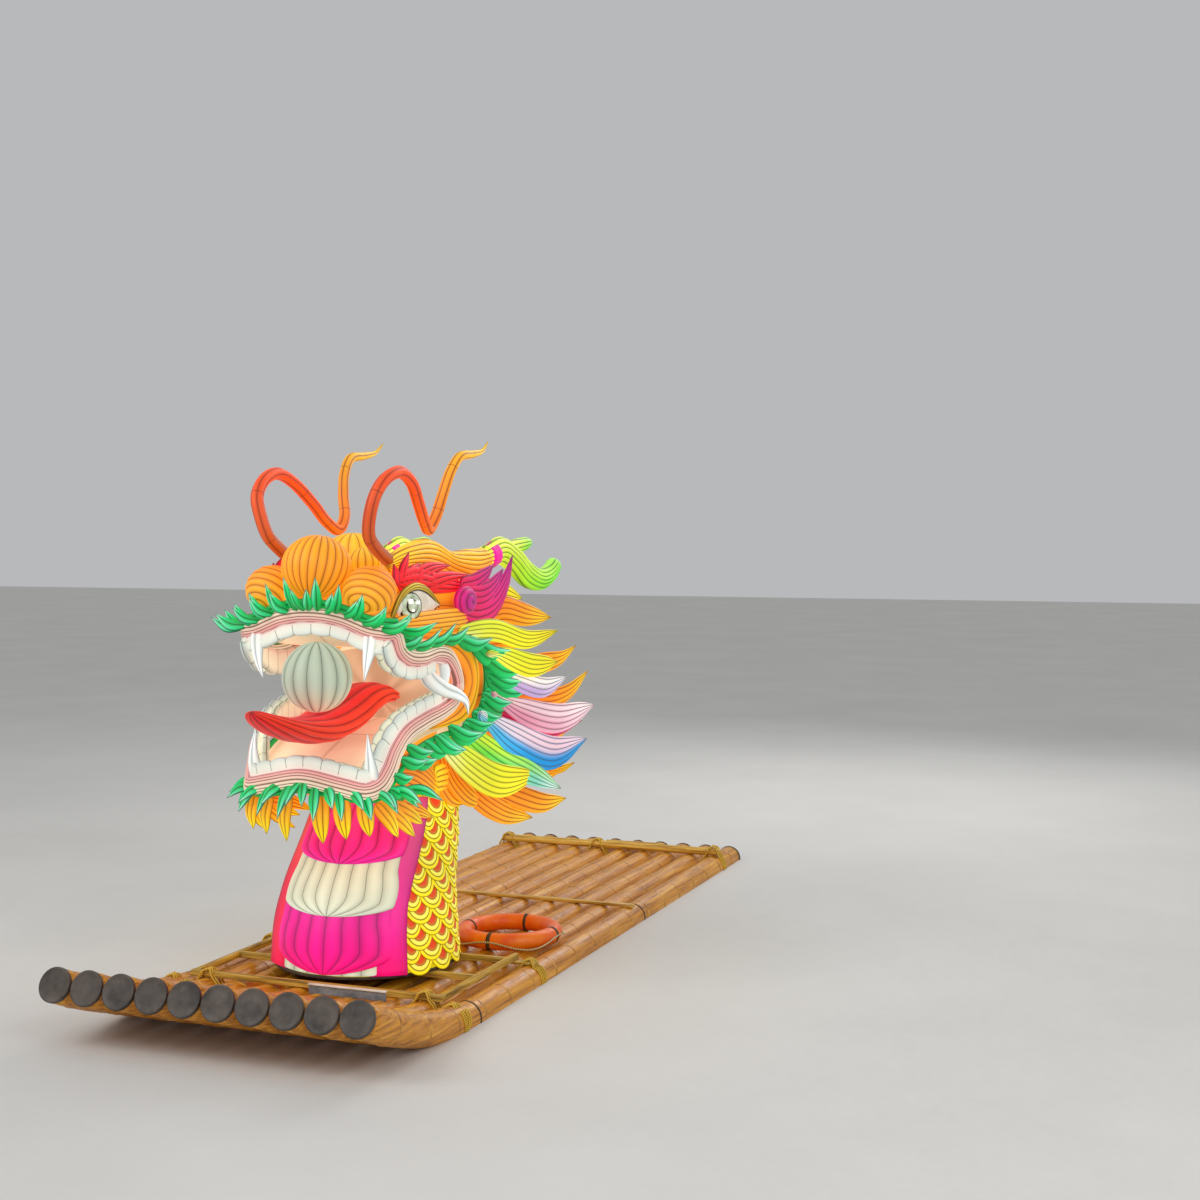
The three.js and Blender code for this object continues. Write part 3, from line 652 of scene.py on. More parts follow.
# Moulded caps over the whole end, faded grey brown and dusty in places.
PIPE_CAP = Finish("Moulded_pipe_cap", "2E2620 54483E", patch_mm=110, roughness=0.5)
# Sawn battens left out in the weather, with open grain along them. Growth rings show about 4 mm apart on a
# sawn face. They are drawn about 15 mm apart.
BATTEN_ACROSS, BATTEN_ALONG = (
    Finish(
        f"Weathered_batten_{way}", "7A5A1E BC9434 E0B850", patch_mm=16, stretch=stretch, streak_relief_mm=2,
        roughness=0.66,
    )
    for way, stretch in (("across", (0.05, 1, 1)), ("along", (1, 0.05, 1)))
)
# Whole bamboo culms, dried to straw brown.
CANE = Finish(
    "Dried_bamboo_cane", "9A6C20 D8A63C F4CC5C", patch_mm=18, stretch=(0.05, 1, 1), streak_relief_mm=1,
    roughness=0.5,
)
RING_SHELL = Finish("Moulded_polyethylene_ring", "F05A00 FF8200", patch_mm=180, roughness=0.45)
WEBBING = Finish("Woven_webbing", "2E241A 56442C", patch_mm=12, stretch=(1, 1, 0.4), relief_mm=0.8,
                 roughness=0.75)
# A dark brown board, as dark as the shade under the lantern's neck.
DARK_BOARD = Finish("Painted_plywood_board", "2A211A 4A3C2E", patch_mm=90, grain_mm=6, roughness=0.7)
# Painted shade and highlight: the board's face is a darker blue grey for shade, and a thin near-white strip
# on its top stands for its lit top face.
SHADED_SPLASH_BOARD = Finish("Faded_blue_grey_board", "5E666E 8E949A", patch_mm=70, grain_mm=5, roughness=0.6)
LIT_SPLASH_TOP = Finish("White_board_edge", "D6D2C2 F8F4E6", patch_mm=60, roughness=0.5)
STUDIO_FLOOR = Finish("Matt_studio_floor", "D4D2CE DAD8D4", patch_mm=2000, grain_mm=40, roughness=0.8)
EYE_WHITE = Finish("Painted_eye_white", "CBBBA4 E6DCCB", patch_mm=110, roughness=0.3, glow=0.3)
IRIS_GLASS = Finish("Glazed_iris", "8E9A7C D2DAC0", patch_mm=40, roughness=0.12, glow=0.35)
EYE_LINE = Finish("Painted_eye_line", "2E2410 4A3A1C", patch_mm=30, roughness=0.35)
EYE_SHINE = Finish("Painted_highlight", "F4F8F0 FFFFFF", patch_mm=60, roughness=0.25, glow=0.8)


@dataclass(frozen=True)
class TwistedRope(Surface):
    """Three-strand rope: slanted strands, with painted shade darkening the hollows between them."""

    colours: str
    strands: float

    def shading(self, tree: NodeTree) -> dict[str, Any]:
        """The rope's shader inputs."""
        length, seam = silk_place(tree)
        near = maths(tree, "PINGPONG", maths(tree, "MULTIPLY_ADD", length, self.strands, seam), 0.5)
        bump = node(tree, "ShaderNodeBump", {"Height": near, "Strength": 0.9, "Distance": 0.004})
        # Painted shade: the colour darkens from each strand's crest into the hollow beside it.
        colour = shade(tree, near, self.colours)
        return {"Base Color": colour, "Roughness": 0.5, "Normal": bump.outputs["Normal"]}


LASHING_ROPE = TwistedRope("Twisted_polypropylene_rope", "0.02:7A5A10 0.3:F2C63A", 60.0)
GRAB_ROPE = TwistedRope("Twisted_grab_line", "0.02:6A5A38 0.3:D8C690", 40.0)


# Lantern paints, named for the forms that they dress
LIP = LanternSilk(
    "Lip_silk", "F0A09C F2BEB0 F6D8BE F6E4C8 EED8B0", deep="C89484", wire="6E4438", axis=Axis.WIDTH,
    glow=0.52, valley_shade=0.4,
)
GUM = LanternSilk(
    "Gum_silk", "F6E4D8 F6C8C0 F0A0A4", deep="E0949A", wire="B86A70", axis=Axis.WIDTH, glow=0.55, valley_shade=0.3,
)
TOOTH = LanternSilk(
    "Tooth_silk", "0.02:CFDAD0 0.1:E4ECE2 0.42:ECEEDE 0.58:F4D8CC 0.72:F4A8AA", deep="B4BEB6",
    wire="56605A", axis=Axis.WIDTH, glow=0.5, valley_shade=0.15, joints=1.0, joint_width=0.035,
)
INNER_TOOTH = LanternSilk(
    "Inner_tooth_silk", "0.02:DCDEC0 0.1:F0F2D8 0.45:F4ECCC 0.7:F2CCB8", deep="C4C4A2", wire="66664E",
    axis=Axis.WIDTH, glow=0.5, valley_shade=0.15, joints=1.0, joint_width=0.035,
)
FANG = LanternSilk(
    "Fang_silk", "EADCD4 F2F6EE F8FCFA F6FBF8", deep="B8C6C6", wire="8A9896", glow=0.6, valley_shade=0.5,
    wire_mm=3.0,
)
PEARL = LanternSilk(
    "Pearl_silk", "EEC09C 0.2:DDD0B0 0.45:C2CDB6 1.0:BCC8B0", deep="8A967E", wire="5A6252", glow=0.5,
    valley_shade=0.4, wire_mm=4.0,
)
TONGUE = LanternSilk(
    "Tongue_silk", "F8381A F01420 E00A24 F01420 F8381A", deep="A80012", wire="5E0410", axis=Axis.WIDTH,
    valley_shade=0.5, glow=0.5,
)
LINING = LanternSilk(
    "Lining_silk", "FADCB8 F8D0A6", deep="F0BE94", wire="C08A62", glow=0.62, valley_shade=0.12, ink=0.4, joints=2.0,
)
NOSE = LanternSilk("Nose_silk", "FF8C0E FF9C14 FFA81C FFA01A", deep="E47806")
NOSTRIL = LanternSilk("Nostril_silk", "FF8A10 FF8C12 FF9A1A FFAC28 F0A420", deep="DC6A04")
FOREHEAD = LanternSilk("Forehead_silk", "FFB01E FFC02E", deep="EC9A10", wire="A06A0A")
BROW = LanternSilk("Brow_silk", "FFC020 FFA818 FF9C10 FFA810", "FFD022 FFBC1E FFC61C", deep="E07C06")
BAND = LanternSilk("Horn_band_silk", "F4189E F4189E", deep="A00E62", wire="FFE0B0")
HORN = LanternSilk(
    "Horn_silk", "EAF41E D6F222 B4EE28 86E62A 74E43A", "F4F84A E8F850 C4F64A A4F25C", deep="5EB414",
    wire="4E7A0A",
)
FEELER = LanternSilk(
    "Feeler_silk", "A8541E C8521C F4521A FF4C12 FF5A12 F67A18 F29A1A F4BC20 FFD028", deep="A83408",
    wire="7E2E08", joints=9.0,
)
FLAME = LanternSilk(
    "Eyebrow_silk", "F40C12 FF141A FF1E28", "FF1220 FF1440", deep="9A0008", wire="6E040A", glow=0.5,
)
SWIRL = LanternSilk("Swirl_silk", "F01C50 F0186A E01880 C41C90", deep="8E064A", wire="5E083A", glow=0.5)
SOCKET = LanternSilk("Socket_silk", "FF9E14 FFAE1C FF9812")
LID = LanternSilk("Lid_silk", "C89A1C E8C838 C89A1C", deep="8A6408", wire="4E3606", glow=0.45)
CHEEK = LanternSilk(
    "Cheek_silk", "FF8806 FF8E08 0.5:FF980A 0.68:FFB010 1.0:FFC81C", deep="D87004", wire="7E4404",
    axis=Axis.WIDTH, valley_shade=0.5, wire_mm=6.0,
)
SKIN = LanternSilk("Head_silk", "FF9C12 FFA014")
LEAF = LanternSilk(
    "Leaf_silk", "049440 06AC4C 0CC662 22D880 B4F6D8", "14C068 34DC90 80F0C0 ECFEF6", deep="007034",
    wire="044C26", edge=(0.5, 0.9), glow=0.55,
)
STALK = LanternSilk("Leaf_band_silk", "06983E 0AAA4C", deep="006A30", wire="044C26")
YELLOW = LanternSilk(
    "Yellow_mane_silk", "FAF4B0 F2F048 F4EC20 FFF01E FFE41A", "DCEC40 E4E820 FFE41A", deep="A8A808",
    wire="6A6608",
)
ORANGE = LanternSilk(
    "Orange_mane_silk", "FF8210 FF8E12 FF9C14 FFB81A FFE01A", "F86A0A FF8010 FFA014 FFD41A",
    deep="DC4C00", wire="8E3E04",
)
WHITE = LanternSilk(
    "White_mane_silk", "DCC4DE C0A0D8 CBB0E0 F6EEF8", "F6ECC4 FFF6EE FBF2EE FFFDFA", deep="BCAAC0",
    wire="6E5E6C",
)
PINK = LanternSilk(
    "Pink_mane_silk", "E2A0B4 E890A8 F0B8C8 FCE8E8", "F2C8B8 F2C8D0 F8D8DC FFF2EE", deep="C07890",
    wire="7A4656",
)
ROSE = LanternSilk("Rose_mane_silk", "C81848 E02058 F04878 F88CA8", deep="960E38", wire="6A0A28")
BLUE = LanternSilk(
    "Blue_mane_silk", "8ED8E0 48B8E8 1CA0E4 1494E0 30A8E8", "E6F0DC E8D8E0 F6D4DC F4CCD8 F2D8E4",
    deep="5A8EC0", wire="24567A", edge=(0.3, 0.62),
)
GREEN = LanternSilk(
    "Green_mane_silk", "A8EC34 6CE040 58D87A 8CDCC8 F0FCF8", "F0F62C C8F038 98E870 D0F4E0",
    deep="36A820", wire="2E6E18",
)
PETAL = LanternSilk("Petal_silk", "FF8A10 FFA016 FFC018 FFE01C FFEC1E", deep="DC8404", wire="8A5804")
PLATE_WHITE = LanternSilk(
    "White_belly_silk", "DCE8D4 E8ECD0 ECEACA E8E6C2", deep="C2C8A8", wire="707660", glow=0.5, valley_shade=0.3,
)
PLATE_MAGENTA = LanternSilk(
    "Magenta_belly_silk", "FF0A66 FF0480 FA0C8E EE1490 E01C92", deep="B80E7A", wire="860A56", valley_shade=0.4,
)
PLATE_PINK = LanternSilk(
    "Pink_belly_silk", "F41CA2 FF1E8E FF2E84 F83C88", deep="C01A6A", wire="8A0E4C", valley_shade=0.4,
)
STRIP = LanternSilk(
    "Side_strip_silk", "FF0676 F01090 EA2E90 E04888 DC5490", deep="B81466", wire="7A0C44", valley_shade=0.3,
)
FAR_STRIP = LanternSilk("Far_strip_silk", "F40C50 F02A4A EE5030", deep="B81430", wire="7A1420", valley_shade=0.3)
NECK = LanternSilk("Neck_silk", "FFE616 FFE21C", deep="F0C010", wire="8A7A08", valley_shade=0.2)
SCALE = LanternSilk(
    "Scale_silk", "0:E0341A 0.34:E84A16 0.47:F0741C 0.51:FFEE6A 0.7:F8F050 0.76:FFE616 1:FFE40E",
    deep="C8A008", wire="5E5606", valley_shade=0.35, wire_mm=6.0,
)


# Copies placed by Geometry Nodes


@dataclass(frozen=True)
class Spot:
    """Where a copy stands in metres, the way its X and Z axes point, and its size along its own axes."""

    at: Point
    x: Point = (1.0, 0.0, 0.0)
    z: Point = UPWARDS
    size: Point = (1.0, 1.0, 1.0)

    def turn(self) -> Point:
        """The Euler angles of the copy."""
        z = Vector(self.z).normalized()
        y = z.cross(Vector(self.x)).normalized()
        x = y.cross(z)
        return tuple(Matrix((x, y, z)).transposed().to_euler())


def copying_tree() -> NodeTree:
    """The Geometry Nodes tree that puts a copy of one piece on each point.

    Returns:
        The tree, with inputs for the points and the piece.
    """
    title = "Copies on points"
    if title in bpy.data.node_groups:
        return bpy.data.node_groups[title]
    tree = bpy.data.node_groups.new(title, "GeometryNodeTree")
    tree.interface.new_socket("Points", in_out="INPUT", socket_type="NodeSocketGeometry")
    tree.interface.new_socket("Piece", in_out="INPUT", socket_type="NodeSocketObject")
    tree.interface.new_socket("Copies", in_out="OUTPUT", socket_type="NodeSocketGeometry")
    given = node(tree, "NodeGroupInput").outputs
    piece = node(tree, "GeometryNodeObjectInfo", {"Object": given["Piece"]})
    turn, size = (
        node(tree, "GeometryNodeInputNamedAttribute", {"Name": name},
             data_type="FLOAT_VECTOR").outputs["Attribute"]
        for name in ("turn", "size")
    )
    rotation = node(tree, "FunctionNodeEulerToRotation", {"Euler": turn})
    placed = node(tree, "GeometryNodeInstanceOnPoints", {
        "Points": given["Points"], "Instance": piece.outputs["Geometry"],
        "Rotation": rotation.outputs["Rotation"], "Scale": size,
    })
    real = node(tree, "GeometryNodeRealizeInstances", {"Geometry": placed.outputs["Instances"]})
    node(tree, "NodeGroupOutput", {"Copies": real.outputs["Geometry"]})
    return tree


def copies(form: Form, spots: Sequence[Spot]) -> Object:
    """Puts a copy of a form on each spot.

    Args:
        form: The form, in metres round its own origin. The piece takes its name.
        spots: The places of the copies.

    Returns:
        One plain mesh object, at the origin.
    """
    name = form.name
    original = form.build()
    original.name = f"{name}_pattern"
    mesh = bpy.data.meshes.new(f"{name}_points")
    mesh.from_pydata([spot.at for spot in spots], [], [])
    for key, values in (("turn", [s.turn() for s in spots]), ("size", [s.size for s in spots])):
        attribute = mesh.attributes.new(key, "FLOAT_VECTOR", "POINT")
        attribute.data.foreach_set("vector", np.asarray(values, np.float32).ravel())
    points = linked(mesh.name, mesh)
    modifier = points.modifiers.new("Copies", "NODES")
    modifier.node_group = copying_tree()
    given = {item.name: item.identifier for item in modifier.node_group.interface.items_tree}
    modifier[given["Piece"]] = original
    whole = bpy.data.meshes.new_from_object(points.evaluated_get(bpy.context.evaluated_depsgraph_get()))
    whole.name = name
    for key in ("turn", "size"):
        if key in whole.attributes:
            whole.attributes.remove(whole.attributes[key])
    for spare in (points, original):
        spare_mesh = spare.data
        bpy.data.objects.remove(spare)
        bpy.data.meshes.remove(spare_mesh)
    return linked(name, whole)


# Raft


def lathe(
    line: Array, radii: Row, normals: Optional[Array] = None, sides: int = 32
) -> Patch:
    """A round shell about a line that lies in a plane of constant X.

    Args:
        line: Points on the line, in millimetres.
        radii: The radius at each.
        normals: The way up at each, square to the line. Up itself where there are none.
        sides: Columns round it.

    Returns:
        The shell.
    """
    rows = len(line)
    up = np.tile(UPWARDS, (rows, 1)) if normals is None else normals
    turn = TAU * np.arange(sides) / sides
    round_it = np.cos(turn)[:, None] * np.array(SIDEWAYS) + np.sin(turn)[:, None] * up[:, None]
    points = (line[:, None] + np.asarray(radii, float)[:, None, None] * round_it) * MM
    return plain_patch(points)


def plain_patch(points: Array) -> Patch:
    """A shell whose finish reads none of its measures."""
    rows, columns = points.shape[:2]
    seam = np.tile(np.arange(columns + 1) / columns, (rows, 1))
    return Patch(points, np.linspace(0, 1, rows), seam, np.zeros((rows, columns)),
                 np.full((rows, columns), 0.1))


@dataclass
class Pipes:
    """Ten pipes side by side, bent up in a smooth curve at the bow, with a moulded cap on each end."""

    count: int = 10
    pitch: float = 213.0
    radius: float = 100.0
    stern: float = 3394.0
    bow: float = -3353.0
    rise: float = 352.0
    bend: float = 1550.0
    wall: float = 9.0
    cap_depth: float = 24.0
    cap_wall: float = 1.8
    joint_pitch: float = 365.0
    joint_shift: float = 137.0
    joint_clear: tuple[float, float] = (170.0, 120.0)

    def middle(self, s: Array) -> tuple[Array, Array]:
        """Points and upward normals of a pipe's middle line, in the plane of X = 0.

        Args:
            s: Y of each point.

        Returns:
            The points and the normals.
        """
        share = np.clip((self.bow + self.bend - s) / self.bend, 0, 1)
        line = np.column_stack([np.zeros_like(s), s, self.radius + self.rise * share**2])
        slope = 2 * self.rise * share / self.bend
        return line, unit(np.column_stack([np.zeros_like(s), slope, np.ones_like(s)]))

    def places(self) -> list[float]:
        """X of each pipe."""
        return [(i - (self.count - 1) / 2) * self.pitch for i in range(self.count)]

    def joints(self, index: int) -> list[float]:
        """Y of each moulded bamboo joint on one pipe."""
        first = self.bow + self.joint_clear[0] + (index * self.joint_shift) % self.joint_pitch
        count = int((self.stern - self.joint_clear[1] - first) / self.joint_pitch) + 1
        return [first + k * self.joint_pitch for k in range(count)]

    def wall_shell(self, x: float) -> Patch:
        """A pipe's wall, with its rim turned in at both ends.

        Args:
            x: The pipe's place.

        Returns:
            The shell.
        """
        back, front = self.stern - self.cap_depth / 2, self.bow + self.cap_depth / 2
        straight = np.linspace(back, self.bow + self.bend, 12)
        bent = np.linspace(self.bow + self.bend, front, 22)[1:]
        y = np.concatenate([
            [back - self.wall, back - self.wall, back - 2, back], straight[1:-1],
            [self.bow + self.bend], bent[:-1], [front, front + 2, front + self.wall, front + self.wall],
        ])
        inner = self.radius - self.wall
        radii = np.full(len(y), self.radius)
        radii[:4] = [inner - 30, inner, inner + 1, self.radius - 2]
        radii[-4:] = [self.radius - 2, inner + 1, inner, inner - 30]
        line, up = self.middle(y)
        return lathe(line + (x, 0, 0), radii, up)

    def cap_shell(self, x: float, y: float, way: float) -> Patch:
        """A moulded cap over a pipe's end, with a rounded rim and a shallow dome.

        Args:
            x: The pipe's place.
            y: The cap's face.
            way: 1 where the cap looks to the stern, -1 where it looks over the bow.

        Returns:
            The shell.
        """
        over = self.radius + self.cap_wall
        radii = [40, over, over, over - 0.6, over - 2.4, over - 6, over - 12, 0.55 * over, 0.25 * over, 2]
        out = [-self.cap_depth, -self.cap_depth, -5, -2.4, -0.9, -0.2, -1.4, -0.7, -0.2, 0]
        line, up = self.middle(np.full(len(out), y))
        forward = -way * unit(np.cross(SIDEWAYS, up[0]))
        return lathe(line + (x, 0, 0) + np.outer(out, forward), radii, up)

    def build(self) -> None:
        """Builds the pipes, their caps and the moulded joints."""
        for i, x in enumerate(self.places()):
            form = Form(f"bamboo_pipe_{i + 1:02d}").add(self.wall_shell(x), PIPE_WALL)
            form.add(self.cap_shell(x, self.bow, -1), PIPE_CAP)
            form.add(self.cap_shell(x, self.stern, 1), PIPE_CAP)
            settle(form.build(), "pipe", f"pipe_{i + 1:02d}")
        settle(self.joint_rings(), "pipe")

    def joint_rings(self) -> Object:
        """The raised double rings of the bamboo joints, as copies of one ring.

        Returns:
            The piece.
        """
        profile = [
            (-16, 97), (-13, 100.6), (-8, 103.2), (-3, 101.2), (0, 100.4),
            (3, 101.2), (7, 102.4), (12, 100.5), (15, 97),
        ]
        line = np.array([(0, y, 0) for y, _ in profile], float)
        ring = Form("pipe_joint_rings").add(lathe(line, [r for _, r in profile], sides=28), PIPE_JOINT)
        spots = []
        for i, x in enumerate(self.places()):
            for point, normal in zip(*self.middle(np.array(self.joints(i)))):
                spots.append(Spot((x * MM, point[1] * MM, point[2] * MM), SIDEWAYS, tuple(normal)))
        return copies(ring, spots)


@dataclass
class Lashings:
    """Straps round the outer pipes and rope lashings that hold the frame and poles down."""

    pipes: Pipes = field(default_factory=Pipes)
    strap_places: tuple[float, ...] = (-2030.0, -1040.0, 870.0)
    strap_width: float = 18.0
    rope: float = 12.0
    turns: int = 4
    knots: Points = (
        (745.5, -2140.0, 264), (-745.5, -2140.0, 264), (958.5, -1075.0, 226), (-958.5, -1075.0, 226),
        (958.5, -2215.0, 228), (-958.5, -2215.0, 228), (958.5, 2920.0, 268), (-106.5, 2920.0, 268),
        (-958.5, 2920.0, 268),
    )

    def strap(self, x: float, y: float) -> Patch:
        """A strap round one pipe.

        Args:
            x: The pipe's place.
            y: The strap's place along it.

        Returns:
            The shell.
        """
        half = self.strap_width / 2
        r = self.pipes.radius
        profile = [(-half, r - 3), (-half, r + 2.2), (half, r + 2.2), (half, r - 3)]
        line, up = self.pipes.middle(np.array([y + shift for shift, _ in profile]))
        return lathe(line + (x, 0, 0), [size for _, size in profile], up)

    def lashing(self, x: float, y: float, top: float) -> list[Patch]:
        """Turns of rope that cross over a pole or bar and pass round the pipe under it.

        Args:
            x: The pipe's place.
            y: The place along it.
            top: The height of the pole's or bar's top.

        Returns:
            One shell for each turn.
        """
        foot = self.pipes.middle(np.array([y]))[0][0, 2] - self.pipes.radius
        r = self.pipes.radius + 3
        loop = (
            (0, 0, foot - 3), (-r * 0.72, -0.4, foot + 28), (-r, -0.9, foot + 104),
            (-r * 0.72, -1, foot + 176), (-44, -1, top - 36), (-24, -0.7, top + 3),
            (24, 0.7, top + 3), (44, 1, top - 36), (r * 0.72, 1, foot + 176),
            (r, 0.9, foot + 104), (r * 0.72, 0.4, foot + 28), (0, 0, foot - 3),
        )
        shells = []
        for k in range(self.turns):
            cross = 34 * (-1 if k % 2 else 1)
            shift = (k - (self.turns - 1) / 2) * self.rope * 0.9
            path = [(x + side, y + cross * share + shift, z + 1.5 * k) for side, share, z in loop]
            shells.append(sweep(path, [self.rope], [self.rope], FORWARDS, 1, 0, Wrap.AROUND, 72, 8))
        return shells

    def build(self) -> None:
        """Builds the straps and lashings."""
        places = self.pipes.places()
        straps = Form("pipe_straps")
        for x in (places[0], places[-1]):
            for y in self.strap_places:
                straps.add(self.strap(x, y), WEBBING)
        settle(straps.build(), "pipe")
        ropes = Form("rope_lashings")
        for knot in self.knots:
            for shell in self.lashing(*knot):
                ropes.add(shell, LASHING_ROPE)
        settle(ropes.build(), "timber")


@dataclass
class DeckFrame:
    """Square bars round the lantern's foot, the batten behind them, a split rail, a pole and the slats."""

    bar: float = 38.0
    height: float = 241.0
    half: float = 850.0
    front: float = -2140.0
    middle: float = -1645.0
    back: float = -1180.0
    batten_y: float = -1075.0
    batten_half: float = 1000.0
    batten_height: float = 211.0
    batten_size: tuple[float, float] = (62.0, 21.4)
    rail_y: float = 755.0
    rail_height: float = 211.5
    rail_size: tuple[float, float] = (54.0, 22.0)
    pole_y: float = 2920.0
    pole_half: float = 1010.0
    pole_radius: float = 32.0
    pole_height: float = 232.3
    slats: int = 5
    slat_y: float = 2990.0
    slat_pitch: float = 62.0

    def beam(self, start: Row, end: Row, width: float, height: float) -> Patch:
        """A sawn beam with eased edges that isn't quite straight.

        Args:
            start: One end of its middle line.
            end: The other end.
            width: Its size across, level.
            height: Its size upwards.

        Returns:
            The shell.
        """
        a, b = np.asarray(start, float), np.asarray(end, float)
        wave = np.array([0.0, 0.6, -0.5, 0.4, 0.0])
        line = [a + (b - a) * k / 4 + np.array([0.7, 0.7, 0.0]) * wave[k] for k in range(5)]
        return sweep(line, [width], [height], UPWARDS, ribs=1, puff=0, wrap=Wrap.AROUND, steps=10, per_rib=24,
                     power=9)

    def level_beam(self, half: float, y: float, z: float, size: tuple[float, float]) -> Patch:
        """A beam that lies across the raft, by its half length, place, height and size."""
        return self.beam((-half, y, z), (half, y, z), *size)

    def build(self) -> None:
        """Builds the frame's bars, the batten, the poles, the splash board and the slats."""
        inner = self.half - self.bar / 2
        for name, y, half in (
            ("front", self.front, self.half + self.bar / 2), ("mid", self.middle, inner),
            ("back", self.back, inner),
        ):
            beam = self.level_beam(half, y, self.height, (self.bar, self.bar))
            settle(Form(f"frame_beam_{name}").add(beam, BATTEN_ACROSS).build(), "timber", f"frame_bar_{name}")
        end = self.batten_y + self.batten_size[0] / 2
        side = self.beam(
            (self.half, self.front + self.bar / 2, self.height), (self.half, end, self.height),
            self.bar, self.bar,
        )
        settle_pair(Form("frame_beam_left").add(side, BATTEN_ALONG), "timber", "frame_bar_side")
        batten = self.level_beam(self.batten_half, self.batten_y, self.batten_height, self.batten_size)
        settle(Form("deck_batten").add(batten, BATTEN_ACROSS).build(), "timber", "cross_batten")
        rail = self.level_beam(self.pole_half, self.rail_y, self.rail_height, self.rail_size)
        settle(Form("split_cane_rail").add(rail, CANE).build(), "timber", "cross_pole_mid")
        settle(Form("cane_pole_stern").add(self.cane(), CANE).build(), "timber", "cross_pole_stern")
        # The splash board's darker face is painted shade, and the pale strip on its top is a painted
        # highlight.
        board = Form("splash_board").add(self.beam((48, -2285, 258), (560, -2285, 258), 16, 54), SHADED_SPLASH_BOARD)
        board.add(self.beam((44, -2288, 289), (566, -2288, 289), 24, 9), LIT_SPLASH_TOP)
        settle(board.build(), "timber")
        slats = Form("stern_slats")
        for k in range(self.slats):
            y = self.slat_y + self.slat_pitch * k
            slats.add(self.beam((-140, y, 206 + 1.4 * (k % 2)), (400, y + 9 * (k % 3), 207), 34, 11), CANE)
        settle(slats.build(), "timber")

    def cane(self) -> Patch:
        """The stern's cane pole, which swells at its joints.

        Returns:
            The shell.
        """
        size = [2 * self.pole_radius * (1.05 if k % 8 == 4 else 1.0) for k in range(61)]
        path = [(self.pole_half * k, self.pole_y, self.pole_height) for k in (-1, 0, 1)]
        return sweep(path, size, size, UPWARDS, 1, 0, Wrap.AROUND, len(size) - 1, 24)


@dataclass
class LifeRing:
    """A moulded life ring that lies on the pipes, with four bands and a grab line through them."""

    x: float = 560.0
    y: float = -500.0
    z: float = 256.3
    radius: float = 305.0
    tube: float = 56.0
    bands: int = 4
    band_half: float = 2.2
    line_radius: float = 6.0
    line_out: float = 26.0
    line_drop: float = 46.0

    def loop(self, start: float, end: float, thick: float, steps: int, sides: int = 28) -> Patch:
        """A stretch of the ring's tube.

        Args:
            start: The angle where it starts, in degrees.
            end: The angle where it ends.
            thick: The tube's radius.
            steps: Rows along it.
            sides: Columns round the tube.

        Returns:
            The shell.
        """
        turn = np.radians(np.linspace(start, end, steps + 1))
        around = TAU * np.arange(sides) / sides
        out = self.radius + thick * np.cos(around)
        return plain_patch(np.stack([
            self.x + np.outer(np.cos(turn), out),
            self.y + np.outer(np.sin(turn), out),
            self.z + np.outer(np.ones_like(turn), thick * np.sin(around)),
        ], -1) * MM)

    def build(self) -> None:
        """Builds the ring with its bands and line."""
        form = Form("rescue_ring").add(self.loop(0, 359.99, self.tube, 96), RING_SHELL)
        step = 360 / self.bands
        for k in range(self.bands):
            start, end = k * step - self.band_half, k * step + self.band_half
            form.add(self.loop(start, end, self.tube + 1.8, 4), WEBBING)
        settle(form.build(), "ring", "life_ring")
        line = Form("rescue_ring_line")
        for k in range(self.bands):
            turn = np.radians(np.linspace(k * step, (k + 1) * step, 9))
            slack = np.sin(np.linspace(0, math.pi, 9)) ** 2
            out = self.radius + self.tube + 2 + self.line_out * slack
            high = self.z + self.line_radius - self.line_drop * slack
            path = np.column_stack([self.x + out * np.cos(turn), self.y + out * np.sin(turn), high])
            size = [2 * self.line_radius]
            line.add(sweep(path, size, size, UPWARDS, 1, 0, Wrap.AROUND, 24, 8), GRAB_ROPE)
        settle(line.build(), "ring")


# Lantern neck


@dataclass
class Plate:
    """One plate of the belly: the heights of its point, sides and top, its half angle, paint and relief."""

    name: str
    point: float
    side: float
    top: float
    half: float
    paint: LanternSilk
    out: float


